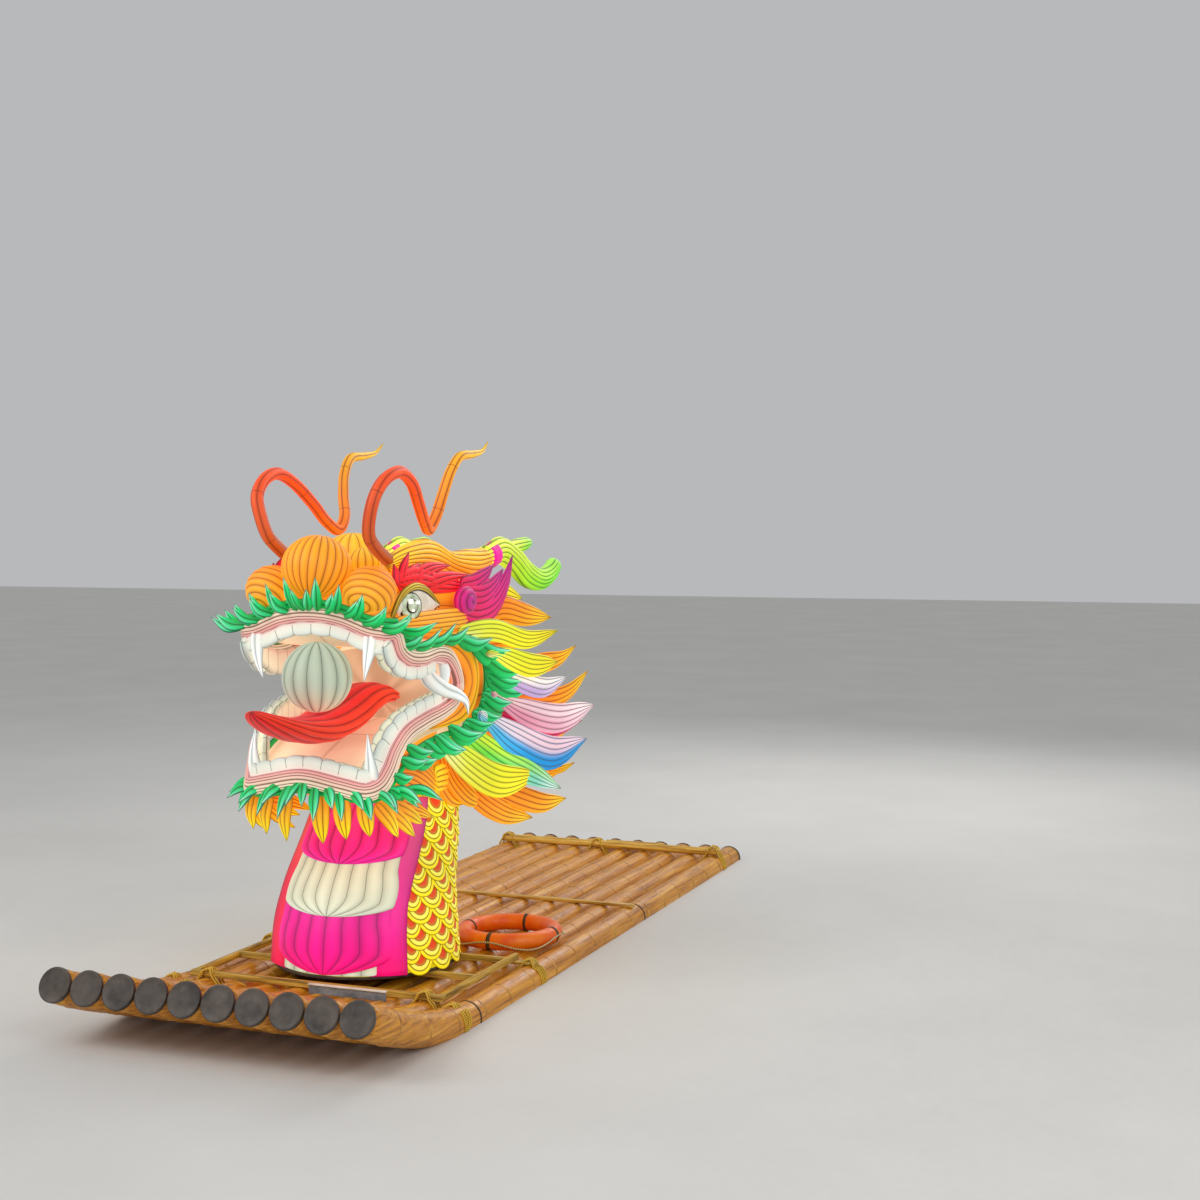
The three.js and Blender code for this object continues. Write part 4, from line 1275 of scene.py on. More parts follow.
@dataclass
class Neck:
    """The lantern's neck: a silk tube that leans back, scaled behind and plated in front."""

    rings: Points = (
        (276, -1483, 572), (550, -1473, 552), (770, -1413, 520), (1060, -1263, 470), (1330, -1150, 420),
    )
    plates: tuple[Plate, ...] = (
        Plate("hem", 282, 282, 372, 47.0, PLATE_WHITE, 5),
        Plate("low", 284, 350, 730, 43.0, PLATE_MAGENTA, 18),
        Plate("middle", 634, 652, 1005, 42.0, PLATE_WHITE, 30),
        Plate("high", 928, 946, 1300, 43.0, PLATE_PINK, 46),
    )
    slow_bend: float = 0.36
    sharp_bend: float = 0.09
    strip_inner: float = 30.0
    strip_outer: float = 52.5
    strip_top: float = 1300.0
    row_pitch: float = 75.0
    column_pitch: float = 20.2
    first_row: float = 272.0
    rows: int = 15
    scale_width: float = 220.0
    scale_height: float = 235.0
    scale_top: float = 1290.0
    slim_share: float = 0.72
    slim_shift: float = 4.0

    def at(self, turn: Any, z: Any, out: Any = 0.0) -> Array:
        """Points on the neck.

        Args:
            turn: Degrees from the front, towards the dragon's left.
            z: Heights.
            out: How far in front of the silk.

        Returns:
            The points, in millimetres.
        """
        turn, z, out = np.broadcast_arrays(np.radians(turn), np.asarray(z, float), np.asarray(out, float))
        dense = smooth_path(self.rings, 60)
        y = np.interp(z, dense[:, 0], dense[:, 1])
        r = np.interp(z, dense[:, 0], dense[:, 2]) + out
        return np.stack([r * np.sin(turn), y - r * np.cos(turn), z], -1)

    def outer_edge(self, z: Any) -> Any:
        """Degrees from the front where the side strip ends and the scales start, by height."""
        return self.strip_outer + 7.0 * np.clip((np.asarray(z, float) - 681) / 500, 0, 1)

    def core(self) -> Patch:
        """The neck's tube."""
        z = np.linspace(276.3, 1330, 34)
        turn = 360 * np.arange(72) / 72
        return plain_patch(self.at(turn[None, :], z[:, None], -6.0) * MM)

    def shell(self, turn: Array, z: Array, out: Array, seam: Array, rib: Array) -> Patch:
        """A thin closed shell over part of the neck.

        Args:
            turn: Degrees from the front, for each row and column.
            z: Heights.
            out: How far the silk stands out.
            seam: The wires' count over the columns.
            rib: Metres between wires.

        Returns:
            The shell.
        """
        front = self.at(turn, z, out)
        back = self.at(turn, z, -8.0)[:, ::-1]
        points = np.concatenate([front, back], axis=1) * MM
        seams = np.concatenate([seam, seam[:, ::-1], seam[:, :1]], axis=1)
        across = np.tile(np.linspace(0, 1, seam.shape[1]), (len(turn), 1))
        return Patch(points, np.linspace(0, 1, len(turn)), seams,
                     np.concatenate([across, across[:, ::-1]], axis=1),
                     np.concatenate([rib, rib[:, ::-1]], axis=1))

    def plate(self, plate: Plate) -> Patch:
        """A plate whose wires leave its point nearly level and bend up one after another, as in an open book.

        Args:
            plate: The plate's sizes.

        Returns:
            The shell.
        """
        ribs, per_rib, rows = 8, 6, 44
        # Rows stand closer together near the point, where the wires bend.
        t = np.linspace(0, 1, rows + 1)[:, None] ** 1.6
        s = np.linspace(-1, 1, ribs * per_rib + 1)[None, :]
        reach = plate.top - plate.point
        if plate.point == plate.side:
            width = np.ones_like(t * s)
            rise = t * np.ones_like(s)
        else:
            # A wire near the edge leaves the point nearly level and turns up sharply. One near the middle
            # bends slowly.
            bend = self.slow_bend + (self.sharp_bend - self.slow_bend) * s**2
            width = np.sin(np.clip(t / bend, 0, 1) * math.pi / 2) ** (0.85 - 0.5 * np.abs(s))
            width = width * (1 + 0.06 * np.sin(math.pi * np.clip((t - 0.05) / 0.6, 0, 1)))
            rise = t + (plate.side - plate.point) / reach * np.abs(s * width) ** 1.4 * (1 - t)
        turn = plate.half * s * width + 1.5
        seam = np.tile((s + 1) / 2 * ribs, (rows + 1, 1))
        puff = np.abs(np.sin(math.pi * seam)) ** 0.6
        # The top lies flat, under the next plate.
        edge = np.minimum(np.minimum(t / 0.1, (1 - t) / 0.4), (1 - np.abs(s)) / 0.12)
        swell = np.sqrt(np.clip(edge, 0, 1))
        out = plate.out * (0.7 + swell * (0.3 + 0.3 * puff))
        rib = math.radians(2 * plate.half) * 0.53 * width / ribs
        return self.shell(turn, plate.point + reach * rise, out, seam, rib)

    def strip(self, side: float) -> Patch:
        """The plain strip between the plates and the scales.

        Args:
            side: 1 for the dragon's left, -1 for its right.

        Returns:
            The shell.
        """
        t = np.linspace(0, 1, 33)[:, None]
        s = np.linspace(0, 1, 9)[None, :]
        z = 278 + (self.strip_top - 278) * t
        turn = side * (self.strip_inner + (self.outer_edge(z) - self.strip_inner) * s)
        out = 3 + 36 * s**1.5 * np.ones_like(t)
        return self.shell(turn, z * np.ones_like(s), out, np.tile(s, (33, 1)), np.full(turn.shape, 0.16))

    def scale(self) -> Form:
        """One scale, round below and square above, bent to the neck and domed, with two raised rims."""
        spokes = 28
        turn = TAU * np.arange(spokes) / spokes
        x, z = np.cos(turn), np.sin(turn)
        power = np.where(z < 0, 2.0, 5.0)
        stretch = (np.abs(x) ** power + np.abs(z) ** power) ** (-1 / power)
        outline = np.column_stack([x * stretch * self.scale_width / 2, z * stretch * self.scale_height / 2])
        levels = np.array([0.03, 0.2, 0.36, 0.46, 0.5, 0.63, 0.76, 0.88, 1.0])
        # Wires run round the middle patch at 0.5, between the rims at 0.76 and round the edge.
        seams = np.interp(levels, [0.03, 0.25, 0.5, 0.76, 1.0], [0.5, 0.75, 1.0, 2.0, 3.0])
        rims = 3 * sum(np.clip(1 - np.abs(levels - middle) / 0.13, 0, 1) for middle in (0.63, 0.88))
        flat = outline[None] * levels[:, None, None]
        bend = flat[..., 0] ** 2 / (2 * 520)
        front = np.stack([flat[..., 0], bend - (6 * (1 - levels**2) + rims)[:, None], flat[..., 1]], -1)
        back = outline * 0.97
        back = np.column_stack([back[:, 0], back[:, 0] ** 2 / (2 * 520) + 5, back[:, 1]])
        points = np.concatenate([front, back[None]]) * MM
        along = np.append(levels, 1.0)
        seam = np.tile(np.append(seams, 3.0)[:, None], (1, spokes + 1))
        rib = np.interp(along, [0, 0.48, 0.52, 1.0], [0.12, 0.12, 0.025, 0.025])
        patch = Patch(points, along, seam, np.zeros(points.shape[:2]), np.tile(rib[:, None], (1, spokes)))
        return Form("neck_scales").add(patch, SCALE)

    def scale_spots(self) -> list[Spot]:
        """The place and tilt of every scale, in rows that are set off by half a scale."""
        spots = []
        for row in range(self.rows):
            foot = self.first_row + row * self.row_pitch
            middle = foot + self.scale_height * 0.42
            if middle > self.scale_top:
                break
            edge = float(self.outer_edge(foot))
            spare = 360 - 2 * edge
            count = round(spare / self.column_pitch)
            odd = row % 2
            for k in range(count + odd):
                turn = edge + (k + (0.0 if odd else 0.5)) * spare / count
                # The first and last scale of an odd row are narrow, and their inner edges end under the side
                # strips.
                slim = odd and k in (0, count)
                if slim:
                    turn += self.slim_shift if k == 0 else -self.slim_shift
                place, above = self.at(turn, middle, 8.0), self.at(turn, middle + 60, -2.0)
                size = float(self.at(90, middle)[0]) / 560
                spots.append(Spot(
                    tuple(place * MM), (math.cos(math.radians(turn)), math.sin(math.radians(turn)), 0.0),
                    tuple(unit(above - place)),
                    (max(size, 0.8) * (self.slim_share if slim else 1.0), 1.0, 1.0),
                ))
        return spots

    def build(self) -> None:
        """Builds the neck, its strips, plates and scales."""
        settle(Form("neck_tube").add(self.core(), NECK).build(), "scale_silk", "neck")
        strips = Form("neck_side_strips").add(self.strip(1), STRIP).add(self.strip(-1), FAR_STRIP)
        settle(strips.build(), "belly_silk")
        for number, plate in enumerate(self.plates):
            form = Form(f"belly_{plate.name}_plate").add(self.plate(plate), plate.paint)
            slot = "tooth_silk" if number == 0 else "belly_silk"
            settle(form.build(), slot, f"belly_plate_{number + 1}")
        settle(copies(self.scale(), self.scale_spots()), "scale_silk")


@dataclass
class Plinth:
    """The round board under the lantern's foot, with an eased edge and a shallow groove round it."""

    radius: float = 585.0
    middle_y: float = -1483.0
    low: float = 260.3

    def build(self) -> None:
        """Builds the board."""
        edge = (
            (0.0, 0.02), (0.0, 0.99), (2.0, 1.0), (6.0, 1.0), (7.5, 0.996), (9.0, 1.0), (13.0, 1.0),
            (15.0, 0.99), (15.0, 0.6), (15.0, 0.02),
        )
        line = np.array([(0, self.middle_y, self.low + rise) for rise, _ in edge])
        board = lathe(line, [self.radius * share for _, share in edge], np.tile((0, 1, 0), (len(edge), 1)),
                      96)
        settle(Form("lantern_board").add(board, DARK_BOARD).build(), "plinth", "plinth")


# Lantern head

LOCK_WIDTHS = (0.62, 0.9, 1.0, 1.0, 0.88, 0.58, 0.05)
FINGER_WIDTHS = (0.2, 0.42, 0.85, 1.0, 0.96, 0.7, 0.05)
LEAF_WIDTHS = (0.42, 0.82, 1.0, 0.98, 0.76, 0.4, 0.04)
PETAL_WIDTHS = (0.8, 1.0, 0.98, 0.84, 0.56, 0.05)
FLAME_WIDTHS = (0.7, 1.0, 0.86, 0.6, 0.32, 0.03)
LOCK_THICKNESSES = (0.7, 0.95, 1.0, 1.0, 0.8, 0.5, 0.12)


def lock(
    path: Rows, width: float, thick: float = 46.0, ribs: int = 4, facing: Facing = SIDEWAYS, steps: int = 22,
    widths: Row = LOCK_WIDTHS, twist: float = 0.0,
) -> Patch:
    """A flame-like lock of silk along a path, pointed at its tip, whose widths are shares of its greatest."""
    return sweep(
        path, [share * width for share in widths], [share * thick for share in LOCK_THICKNESSES], facing,
        ribs, 0.3, Wrap.ACROSS, steps, 5, (0.03, 0.0), twist,
    )


def leaf(
    root: Row, tip: Row, width: float, sag: float = 0.12, facing: Facing = SIDEWAYS,
    ribs: int = 2, thick: float = 36.0,
) -> Patch:
    """A leaf or petal whose middle sags, so that its tip curls up.

    Args:
        root: Where it starts.
        tip: Where it ends.
        width: Its width.
        sag: How far its middle hangs, as a share of its length.
        facing: The way its flat face looks.
        ribs: How many ribs it has.
        thick: Its thickness.

    Returns:
        The shell.
    """
    a, b = np.asarray(root, float), np.asarray(tip, float)
    middle = (a + b) / 2 + np.array([0.0, 0.0, -sag * np.linalg.norm(b - a)])
    return lock([a, middle, b], width, thick, ribs, facing, 16, LEAF_WIDTHS, 0.2)


def flipped(points: Rows) -> list[tuple[float, ...]]:
    """Points mirrored to the other side, in the other order."""
    return [(-p[0], p[1], p[2]) for p in reversed(points)]


def out_of_face(points: Array) -> Array:
    """The way out of the face at points in metres: forwards in front, sideways along the mouth's sides."""
    side = np.minimum(1, np.abs(points[:, 0]) / 0.5) ** 4
    return unit(np.column_stack([np.sign(points[:, 0]) * side, side - 1, np.zeros(len(points))]))


def block(sections: Rows, ribs: int, power: float = 3.0, rows: int = 26, columns: int = 80) -> Patch:
    """A squarish silk body that runs along Y, with wires along it.

    Args:
        sections: Y, half width, lowest and highest height of each section.
        ribs: How many ribs lie round it.
        power: 2 for round sections, more for squarer ones.
        rows: Rows along it.
        columns: Columns round it.

    Returns:
        The shell.
    """
    dense = smooth_path(sections, rows + 1)
    turn = TAU * np.arange(columns) / columns
    c = np.sign(np.cos(turn)) * np.abs(np.cos(turn)) ** (2 / power)
    s = np.sign(np.sin(turn)) * np.abs(np.sin(turn)) ** (2 / power)
    y, half, low, high = (dense[:, k:k + 1] for k in range(4))
    points = np.stack([half * c, y * np.ones_like(c), (low + high) / 2 + (high - low) / 2 * s], -1) * MM
    seam = np.tile(ribs * np.arange(columns + 1) / columns, (rows + 1, 1))
    rib = np.tile(TAU * half * MM / ribs, (1, columns))
    return Patch(points, np.linspace(0, 1, rows + 1), seam, np.tile((1 + s) / 2, (rows + 1, 1)), rib)


@dataclass(frozen=True)
class ToothRow:
    """A row of teeth on one lip.

    Its teeth reach half to either side of the lip's middle. They are high from root to tip and deep from face
    to back, and their middle line lies sink from the lip's, towards the mouth, and inset behind it.
    """

    jaw: str
    name: str
    count: int
    half: float
    sink: float
    inset: float
    height: float
    depth: float


@dataclass
class Mouth:
    """The open mouth: lips, gums, teeth, fangs, tongue and the pearl."""

    lip_height: tuple[float, ...] = (70, 92, 104, 106, 106, 106, 106, 106, 106, 106, 104, 92, 70)
    lip_depth: float = 78.0
    upper: Points = (
        (0, -2160, 2500), (210, -2152, 2475), (390, -2128, 2405), (462, -2110, 2392), (502, -2060, 2385),
        (506, -1990, 2285), (506, -1880, 2232), (506, -1700, 2215), (506, -1490, 2232), (506, -1330, 2198),
        (506, -1225, 2105), (506, -1184, 2015), (506, -1184, 1968),
    )
    lower: Points = (
        (503, -1186, 2012), (503, -1192, 1972), (506, -1245, 1900), (506, -1410, 1848), (500, -1670, 1805),
        (490, -1885, 1748),
        (480, -2000, 1655), (468, -2055, 1555), (445, -2125, 1470), (395, -2205, 1440), (250, -2235, 1468),
        (0, -2258, 1512),
    )
    lip_ribs: int = 6
    gum_half: float = 1480.0
    notch: float = 0.15
    dent: float = 0.2
    rows: tuple[ToothRow, ...] = (
        ToothRow("upper", "front", 18, 1190, 58, 18, 164, 44),
        ToothRow("upper", "inner", 20, 1190, 52, 62, 160, 46),
        ToothRow("lower", "front", 24, 1400, 58, 18, 164, 40),
        ToothRow("lower", "inner", 30, 1400, 54, 62, 160, 52),
    )
    pearl_radius: float = 214.0
    pearl: Point = (0, -2085, 2106)
    tongue: Points = (
        (0, -1180, 1900), (0, -1400, 1945), (0, -1600, 1925), (0, -1850, 1842), (0, -2085, 1796),
        (-20, -2330, 1812), (-35, -2560, 1876), (-45, -2750, 1955),
    )

    def along_lip(self, path: Rows, half: float, count: int, sink: float, inset: float) -> Array:
        """Evenly spaced points beside a lip.

        Args:
            path: The lip's middle line.
            half: How far they reach to either side of its middle.
            count: How many there are.
            sink: How far they lie from the middle line, towards the mouth.
            inset: How far they lie behind it.

        Returns:
            The points, in millimetres.
        """
        dense = 800
        line = smooth_path(path, dense + 1) * MM
        reach = np.concatenate([[0], np.cumsum(np.linalg.norm(np.diff(line, axis=0), axis=1))])
        places = reach[-1] / 2 + np.linspace(-half, half, count) * MM
        out = out_of_face(line)
        inward = unit(np.cross(unit(np.gradient(line, axis=0)), out))
        beside = line + inward * sink * MM - out * inset * MM
        return beside[np.searchsorted(reach, places).clip(0, dense)] / MM

    def teeth(self, path: Rows, row: ToothRow) -> Patch:
        """A row of flush, blunt teeth with a rounded tip each.

        Args:
            path: The lip's middle line.
            row: The row.

        Returns:
            The shell. The place along it counts teeth.
        """
        points = self.along_lip(path, row.half, 121, row.sink, row.inset)
        steps = 6 * row.count
        gap = 1 - np.abs(np.sin(math.pi * np.linspace(0, row.count, steps + 1))) ** 0.5
        patch = sweep(
            points, row.height * (1 - self.notch * gap), row.depth * (1 - self.dent * gap), out_of_face,
            1, 0.0, Wrap.ACROSS, steps, 12, power=6,
        )
        patch.along = patch.along * row.count
        return patch

    def build(self) -> None:
        """Builds the lips, gums, teeth, tongue and pearl."""
        paths = {
            "upper": [*flipped(self.upper), *self.upper[1:]],
            "lower": [*self.lower, *flipped(self.lower)[1:]],
        }
        for jaw, path in paths.items():
            band = sweep(
                path, self.lip_height, [self.lip_depth], out_of_face, self.lip_ribs, 0.3, Wrap.ACROSS, 150, 5,
                power=2.6,
            )
            # The soft pink edge between a lip and its teeth.
            edge = self.along_lip(path, self.gum_half, 61, 56, 16)
            gum = sweep(edge, [34], [46], out_of_face, 2, 0.2, Wrap.ACROSS, 120, 5, (0.01, 0.01))
            lip = Form(f"{jaw}_lip_band").add(band, LIP).add(gum, GUM)
            settle(lip.build(), "lip_silk", f"{jaw}_lip")
        for row in self.rows:
            front = row.name == "front"
            teeth = Form(f"{row.jaw}_{row.name}_teeth")
            teeth.add(self.teeth(paths[row.jaw], row), TOOTH if front else INNER_TOOTH)
            settle(teeth.build(), "tooth_silk", *([f"{row.jaw}_teeth"] if front else []))
        self.build_fangs()
        pearl = ball(self.pearl, [self.pearl_radius] * 3, UPWARDS, 14, 0.03, Seams.MERIDIANS, 40, 140)
        settle(Form("mouth_pearl").add(pearl, PEARL).build(), "pearl_silk", "pearl")
        tongue = sweep(
            self.tongue, [250, 340, 400, 420, 410, 390, 320, 120], [60, 150, 182, 190, 180, 150, 104, 44],
            UPWARDS, 12, 0.12, Wrap.AROUND, 64, 6, (0.02, 0.05), twist=1.2,
        )
        settle(Form("tongue_form").add(tongue, TONGUE).build(), "tongue_silk", "tongue")

    def build_fangs(self) -> None:
        """Builds the four fangs, the tusks and the oval end teeth."""
        fangs = Form("fangs")
        high = [(388, -2112, 2420), (386, -2135, 2300), (370, -2145, 2190), (348, -2135, 2095)]
        low = [(392, -2125, 1480), (400, -2155, 1580), (396, -2170, 1680), (384, -2165, 1785)]
        for points, wide in ((high, (96, 94, 76, 42, 6)), (low, (100, 92, 64, 34, 6))):
            for side in (-1, 1):
                path = [(side * x, y, z) for x, y, z in points]
                fangs.add(sweep(path, wide, [0.75 * w for w in wide], FORWARDS, 2, 0.2, Wrap.ACROSS, 22, 8),
                          FANG)
        settle(fangs.build(), "tooth_silk")
        tusk = Form("tusk_left")
        path = [(455, -1590, 2150), (480, -1545, 2070), (535, -1475, 2005), (585, -1375, 1962),
                (612, -1285, 1905), (616, -1258, 1818)]
        wide = [96, 122, 112, 94, 74, 46, 6]
        tusk.add(sweep(path, wide, [0.75 * w for w in wide], SIDEWAYS, 2, 0.12, Wrap.ACROSS, 34, 6), FANG)
        oval = [(478, -1365, 2185), (490, -1345, 2100), (486, -1335, 2010)]
        tusk.add(sweep(oval, [60, 104, 100, 50], [40, 56, 56, 36], SIDEWAYS, 1, 0.1, Wrap.AROUND, 16, 20,
                       (0.15, 0.15)), FANG)
        settle_pair(tusk, "tooth_silk", "tusk")


@dataclass
class Skull:
    """The head's hidden silk core: skull and palate, throat and jaw with their linings."""

    skull: tuple[tuple[float, ...], ...] = (
        (-2120, 410, 2410, 2555), (-1950, 442, 2305, 2695), (-1500, 458, 2255, 2785),
        (-1000, 458, 2205, 2785), (-700, 424, 2225, 2735), (-520, 294, 2285, 2635),
    )
    throat: tuple[tuple[float, ...], ...] = (
        (-1290, 424, 1565, 2225), (-1000, 474, 1335, 2325), (-720, 454, 1365, 2325), (-520, 314, 1505, 2265),
    )
    jaw: tuple[tuple[float, ...], ...] = (
        (-2175, 374, 1416, 1530), (-1980, 424, 1366, 1620), (-1650, 449, 1336, 1730),
        (-1200, 444, 1326, 1780),
    )

    def build(self) -> None:
        """Builds the skull, throat and jaw."""
        skull = Form("skull_form").add(block(self.skull, 18), SKIN)
        palate = [(y, half - 12, low - 3, low + 60) for y, half, low, _ in self.skull[:4]]
        skull.add(block(palate, 8, 5.0), LINING)
        settle(skull.build(), "head_silk", "skull")
        settle(Form("throat_form").add(block(self.throat, 8, 3.6), LINING).build(), "lining_silk", "throat")
        jaw = Form("jaw_form").add(block(self.jaw, 18), SKIN)
        floor = [(y, half - 3, high - 60, high + 9) for y, half, _, high in self.jaw]
        jaw.add(block(floor, 8, 6.0), LINING)
        settle(jaw.build(), "head_silk", "lower_jaw")


@dataclass(frozen=True)
class Lock:
    """One lock: its path from root to tip, its width, paint, ribs, thickness and the shares of its width."""

    path: Points
    width: float
    paint: LanternSilk = ORANGE
    ribs: int = 4
    thick: float = 50.0
    widths: tuple[float, ...] = LOCK_WIDTHS


def dome(centre: Row, way: Row, radius: float, rise: float) -> Patch:
    """A low round dome that looks one way.

    Args:
        centre: The middle of its foot.
        way: The way it looks.
        radius: Its radius.
        rise: Its height.

    Returns:
        The shell.
    """
    out = unit(np.asarray(way, float))
    side = unit(np.cross(UPWARDS, out))
    turn = TAU * np.arange(48) / 48
    circle = radius * (np.cos(turn)[:, None] * side + np.sin(turn)[:, None] * np.cross(out, side))
    rows = ((0.02, 1.0), (0.5, 0.86), (0.8, 0.55), (0.95, 0.2), (1.0, -0.2), (1.0, -1.0), (0.02, -1.0))
    return plain_patch(np.stack([
        np.asarray(centre) + share * circle + lift * rise * out for share, lift in rows
    ]) * MM)


@dataclass
class Face:
    """The face over the mouth: nose, nostrils, forehead, brows, horns, feelers, eyes and flames."""

    nose_axis: Point = (0.0, 0.35, 1.0)
    nostril_axis: Point = (0.1, -0.75, -0.65)
    brow: Sized = (
        (345, -1835, 2775, 90), (345, -1600, 2815, 178), (335, -1250, 2825, 222), (345, -960, 2768, 168),
        (365, -700, 2758, 222), (378, -460, 2802, 150),
    )
    horn: Sized = (
        (378, -500, 2808, 150), (380, -440, 2815, 190), (388, -250, 2850, 200), (400, -60, 2785, 215),
        (425, 110, 2680, 200), (450, 290, 2636, 165), (466, 440, 2680, 150), (476, 545, 2768, 118),
    )
    branch: Sized = (
        (388, -160, 2850, 130), (395, 50, 2882, 108), (400, 255, 2908, 84),
    )
    horn_band: Sized = (
        (379, -468, 2808, 172), (381, -410, 2818, 190), (384, -352, 2832, 198),
    )
    feeler: Points = (
        (335, -1790, 2800), (340, -1970, 2885), (350, -2070, 2960), (375, -2105, 3075), (405, -2095, 3195),
        (420, -2000, 3295), (425, -1820, 3345), (415, -1645, 3290), (380, -1480, 3165), (355, -1350, 3050),
        (330, -1235, 2995), (335, -1145, 3080), (365, -1105, 3220), (390, -1045, 3365), (405, -935, 3470),
        (405, -750, 3495), (405, -580, 3525), (400, -478, 3590),
    )
    feeler_size: tuple[float, ...] = (84, 83, 82, 81, 80, 79, 78, 75, 68, 52, 8)
    flames: tuple[Lock, ...] = (
        Lock(((440, -1900, 2672), (452, -1660, 2690), (470, -1330, 2650), (500, -790, 2612)), 165, FLAME, 4),
        Lock(((440, -1885, 2665), (428, -1880, 2730), (418, -1890, 2790)), 74, FLAME, 2),
        Lock(((446, -1840, 2670), (434, -1790, 2760), (424, -1700, 2856)), 104, FLAME, 3),
        Lock(((450, -1790, 2680), (440, -1700, 2740), (432, -1560, 2790)), 90, FLAME, 3),
        Lock(((452, -1740, 2670), (455, -1480, 2745), (456, -1180, 2768)), 130, FLAME, 4),
        Lock(((462, -1560, 2650), (480, -1300, 2690), (498, -960, 2700)), 110, FLAME, 3),
    )
    swirl: tuple[Lock, ...] = (
        Lock(((512, -1230, 2500), (540, -1000, 2455), (566, -760, 2510), (582, -600, 2650),
              (588, -495, 2822)), 215, SWIRL, 5, 56),
        Lock(((520, -1150, 2560), (548, -960, 2545), (568, -800, 2600), (582, -640, 2730)),
             200, SWIRL, 5, 56),
        Lock(((512, -1160, 2620), (532, -1020, 2635), (552, -880, 2690), (566, -760, 2760)),
             150, SWIRL, 4, 50),
    )
    under_eye: Points = (
        (478, -2010, 2425), (500, -1700, 2425), (515, -1400, 2428), (532, -1050, 2436), (545, -700, 2462),
    )
    cheek: Points = (
        (478, -1600, 2268), (478, -1380, 2270), (478, -1190, 2215), (478, -1055, 2115), (478, -1020, 2010),
        (478, -1075, 1915), (478, -1200, 1835), (478, -1360, 1795), (478, -1580, 1765),
    )
    cheek_width: tuple[float, ...] = (30, 70, 150, 260, 350, 370, 340, 230, 130, 76, 30)
    iris: Point = (487, -1815, 2531)
    iris_way: Point = (0.9, -0.43, 0.02)

    def roll(self, rows: Rows, depth: float, ribs: int, steps: int, twist: float,
             blunt: tuple[float, float] = (0.0, 0.1)) -> Patch:
        """A rolled form whose height changes along it.

        Args:
            rows: X, Y, Z and height of its middle line.
            depth: Its greatest thickness.
            ribs: How many ribs it has.
            steps: Rows along it.
            twist: How many ribs its wires move across.
            blunt: The shares of its ends that are rounded.

        Returns:
            The shell.
        """
        high = [row[3] for row in rows]
        return sweep([row[:3] for row in rows], high, [min(h, depth) for h in high], SIDEWAYS, ribs, 0.28,
                     Wrap.ACROSS, steps, 5, blunt, twist)

    def build(self) -> None:
        """Builds every form of the face."""
        nose = ball((0, -2085, 2765), (215, 205, 200), self.nose_axis, 24, 0.04, Seams.MERIDIANS, 40, 144)
        settle(Form("nose_form").add(nose, NOSE).build(), "head_silk", "nose")
        nostril = ball((335, -2040, 2630), (160, 175, 150), self.nostril_axis, 10, 0.06, Seams.PARALLELS, 70,
                       60)
        settle_pair(Form("nostril_left").add(nostril, NOSTRIL), "head_silk", "nostril")
        forehead = Form("forehead_form")
        for centre, radii in (
            ((0, -1640, 2850), (184, 136, 126)), ((122, -1740, 2790), (116, 108, 94)),
            ((-122, -1740, 2790), (116, 108, 94)),
        ):
            forehead.add(ball(centre, radii, UPWARDS, 14, 0.05, Seams.MERIDIANS, 32, 84), FOREHEAD)
        settle(forehead.build(), "head_silk", "forehead")
        brow = Form("brow_left").add(self.roll(self.brow, 160, 7, 48, 3.0, (0.05, 0.04)), BROW)
        settle_pair(brow, "head_silk", "brow")
        horn = Form("horn_left").add(self.roll(self.horn, 124, 6, 52, 1.6, (0.0, 0.05)), HORN)
        horn.add(self.roll(self.branch, 90, 4, 26, 0.6, (0.0, 0.3)), HORN)
        horn.add(self.roll(self.horn_band, 156, 1, 10, 0.0, (0.1, 0.1)), BAND)
        settle_pair(horn, "horn_silk", "horn")
        size = self.feeler_size
        feeler = sweep(self.feeler, size, size, SIDEWAYS, 5, 0.16, Wrap.AROUND, 140, 4, (0.0, 0.0), 0.5)
        settle_pair(Form("feeler_left").add(feeler, FEELER), "feeler_silk", "feeler")
        flame = Form("flame_brow_left")
        for row in self.flames:
            flame.add(lock(row.path, row.width, row.thick, row.ribs, widths=FLAME_WIDTHS), row.paint)
        settle_pair(flame, "flame_silk", "eyebrow")
        swirl = Form("temple_swirl_left")
        curl = ball((536, -1130, 2540), (58, 130, 96), SIDEWAYS, 5, 0.1, Seams.SPIRAL, 40, 48)
        swirl.add(curl, SWIRL)
        for row in self.swirl:
            swirl.add(lock(row.path, row.width, row.thick, row.ribs, widths=PETAL_WIDTHS, twist=0.6),
                      row.paint)
        swirl.add(lock(self.under_eye, 140, 50, 5), SOCKET)
        settle_pair(swirl, "swirl_silk", "temple_swirl")
        cheek = sweep(
            self.cheek, self.cheek_width, [90, 110, 120, 120, 110, 80], SIDEWAYS, 4, 0.14, Wrap.ACROSS, 72, 8,
            (0.03, 0.03),
        )
        settle_pair(Form("cheek_left").add(cheek, CHEEK), "head_silk", "cheek")
        self.build_eye()

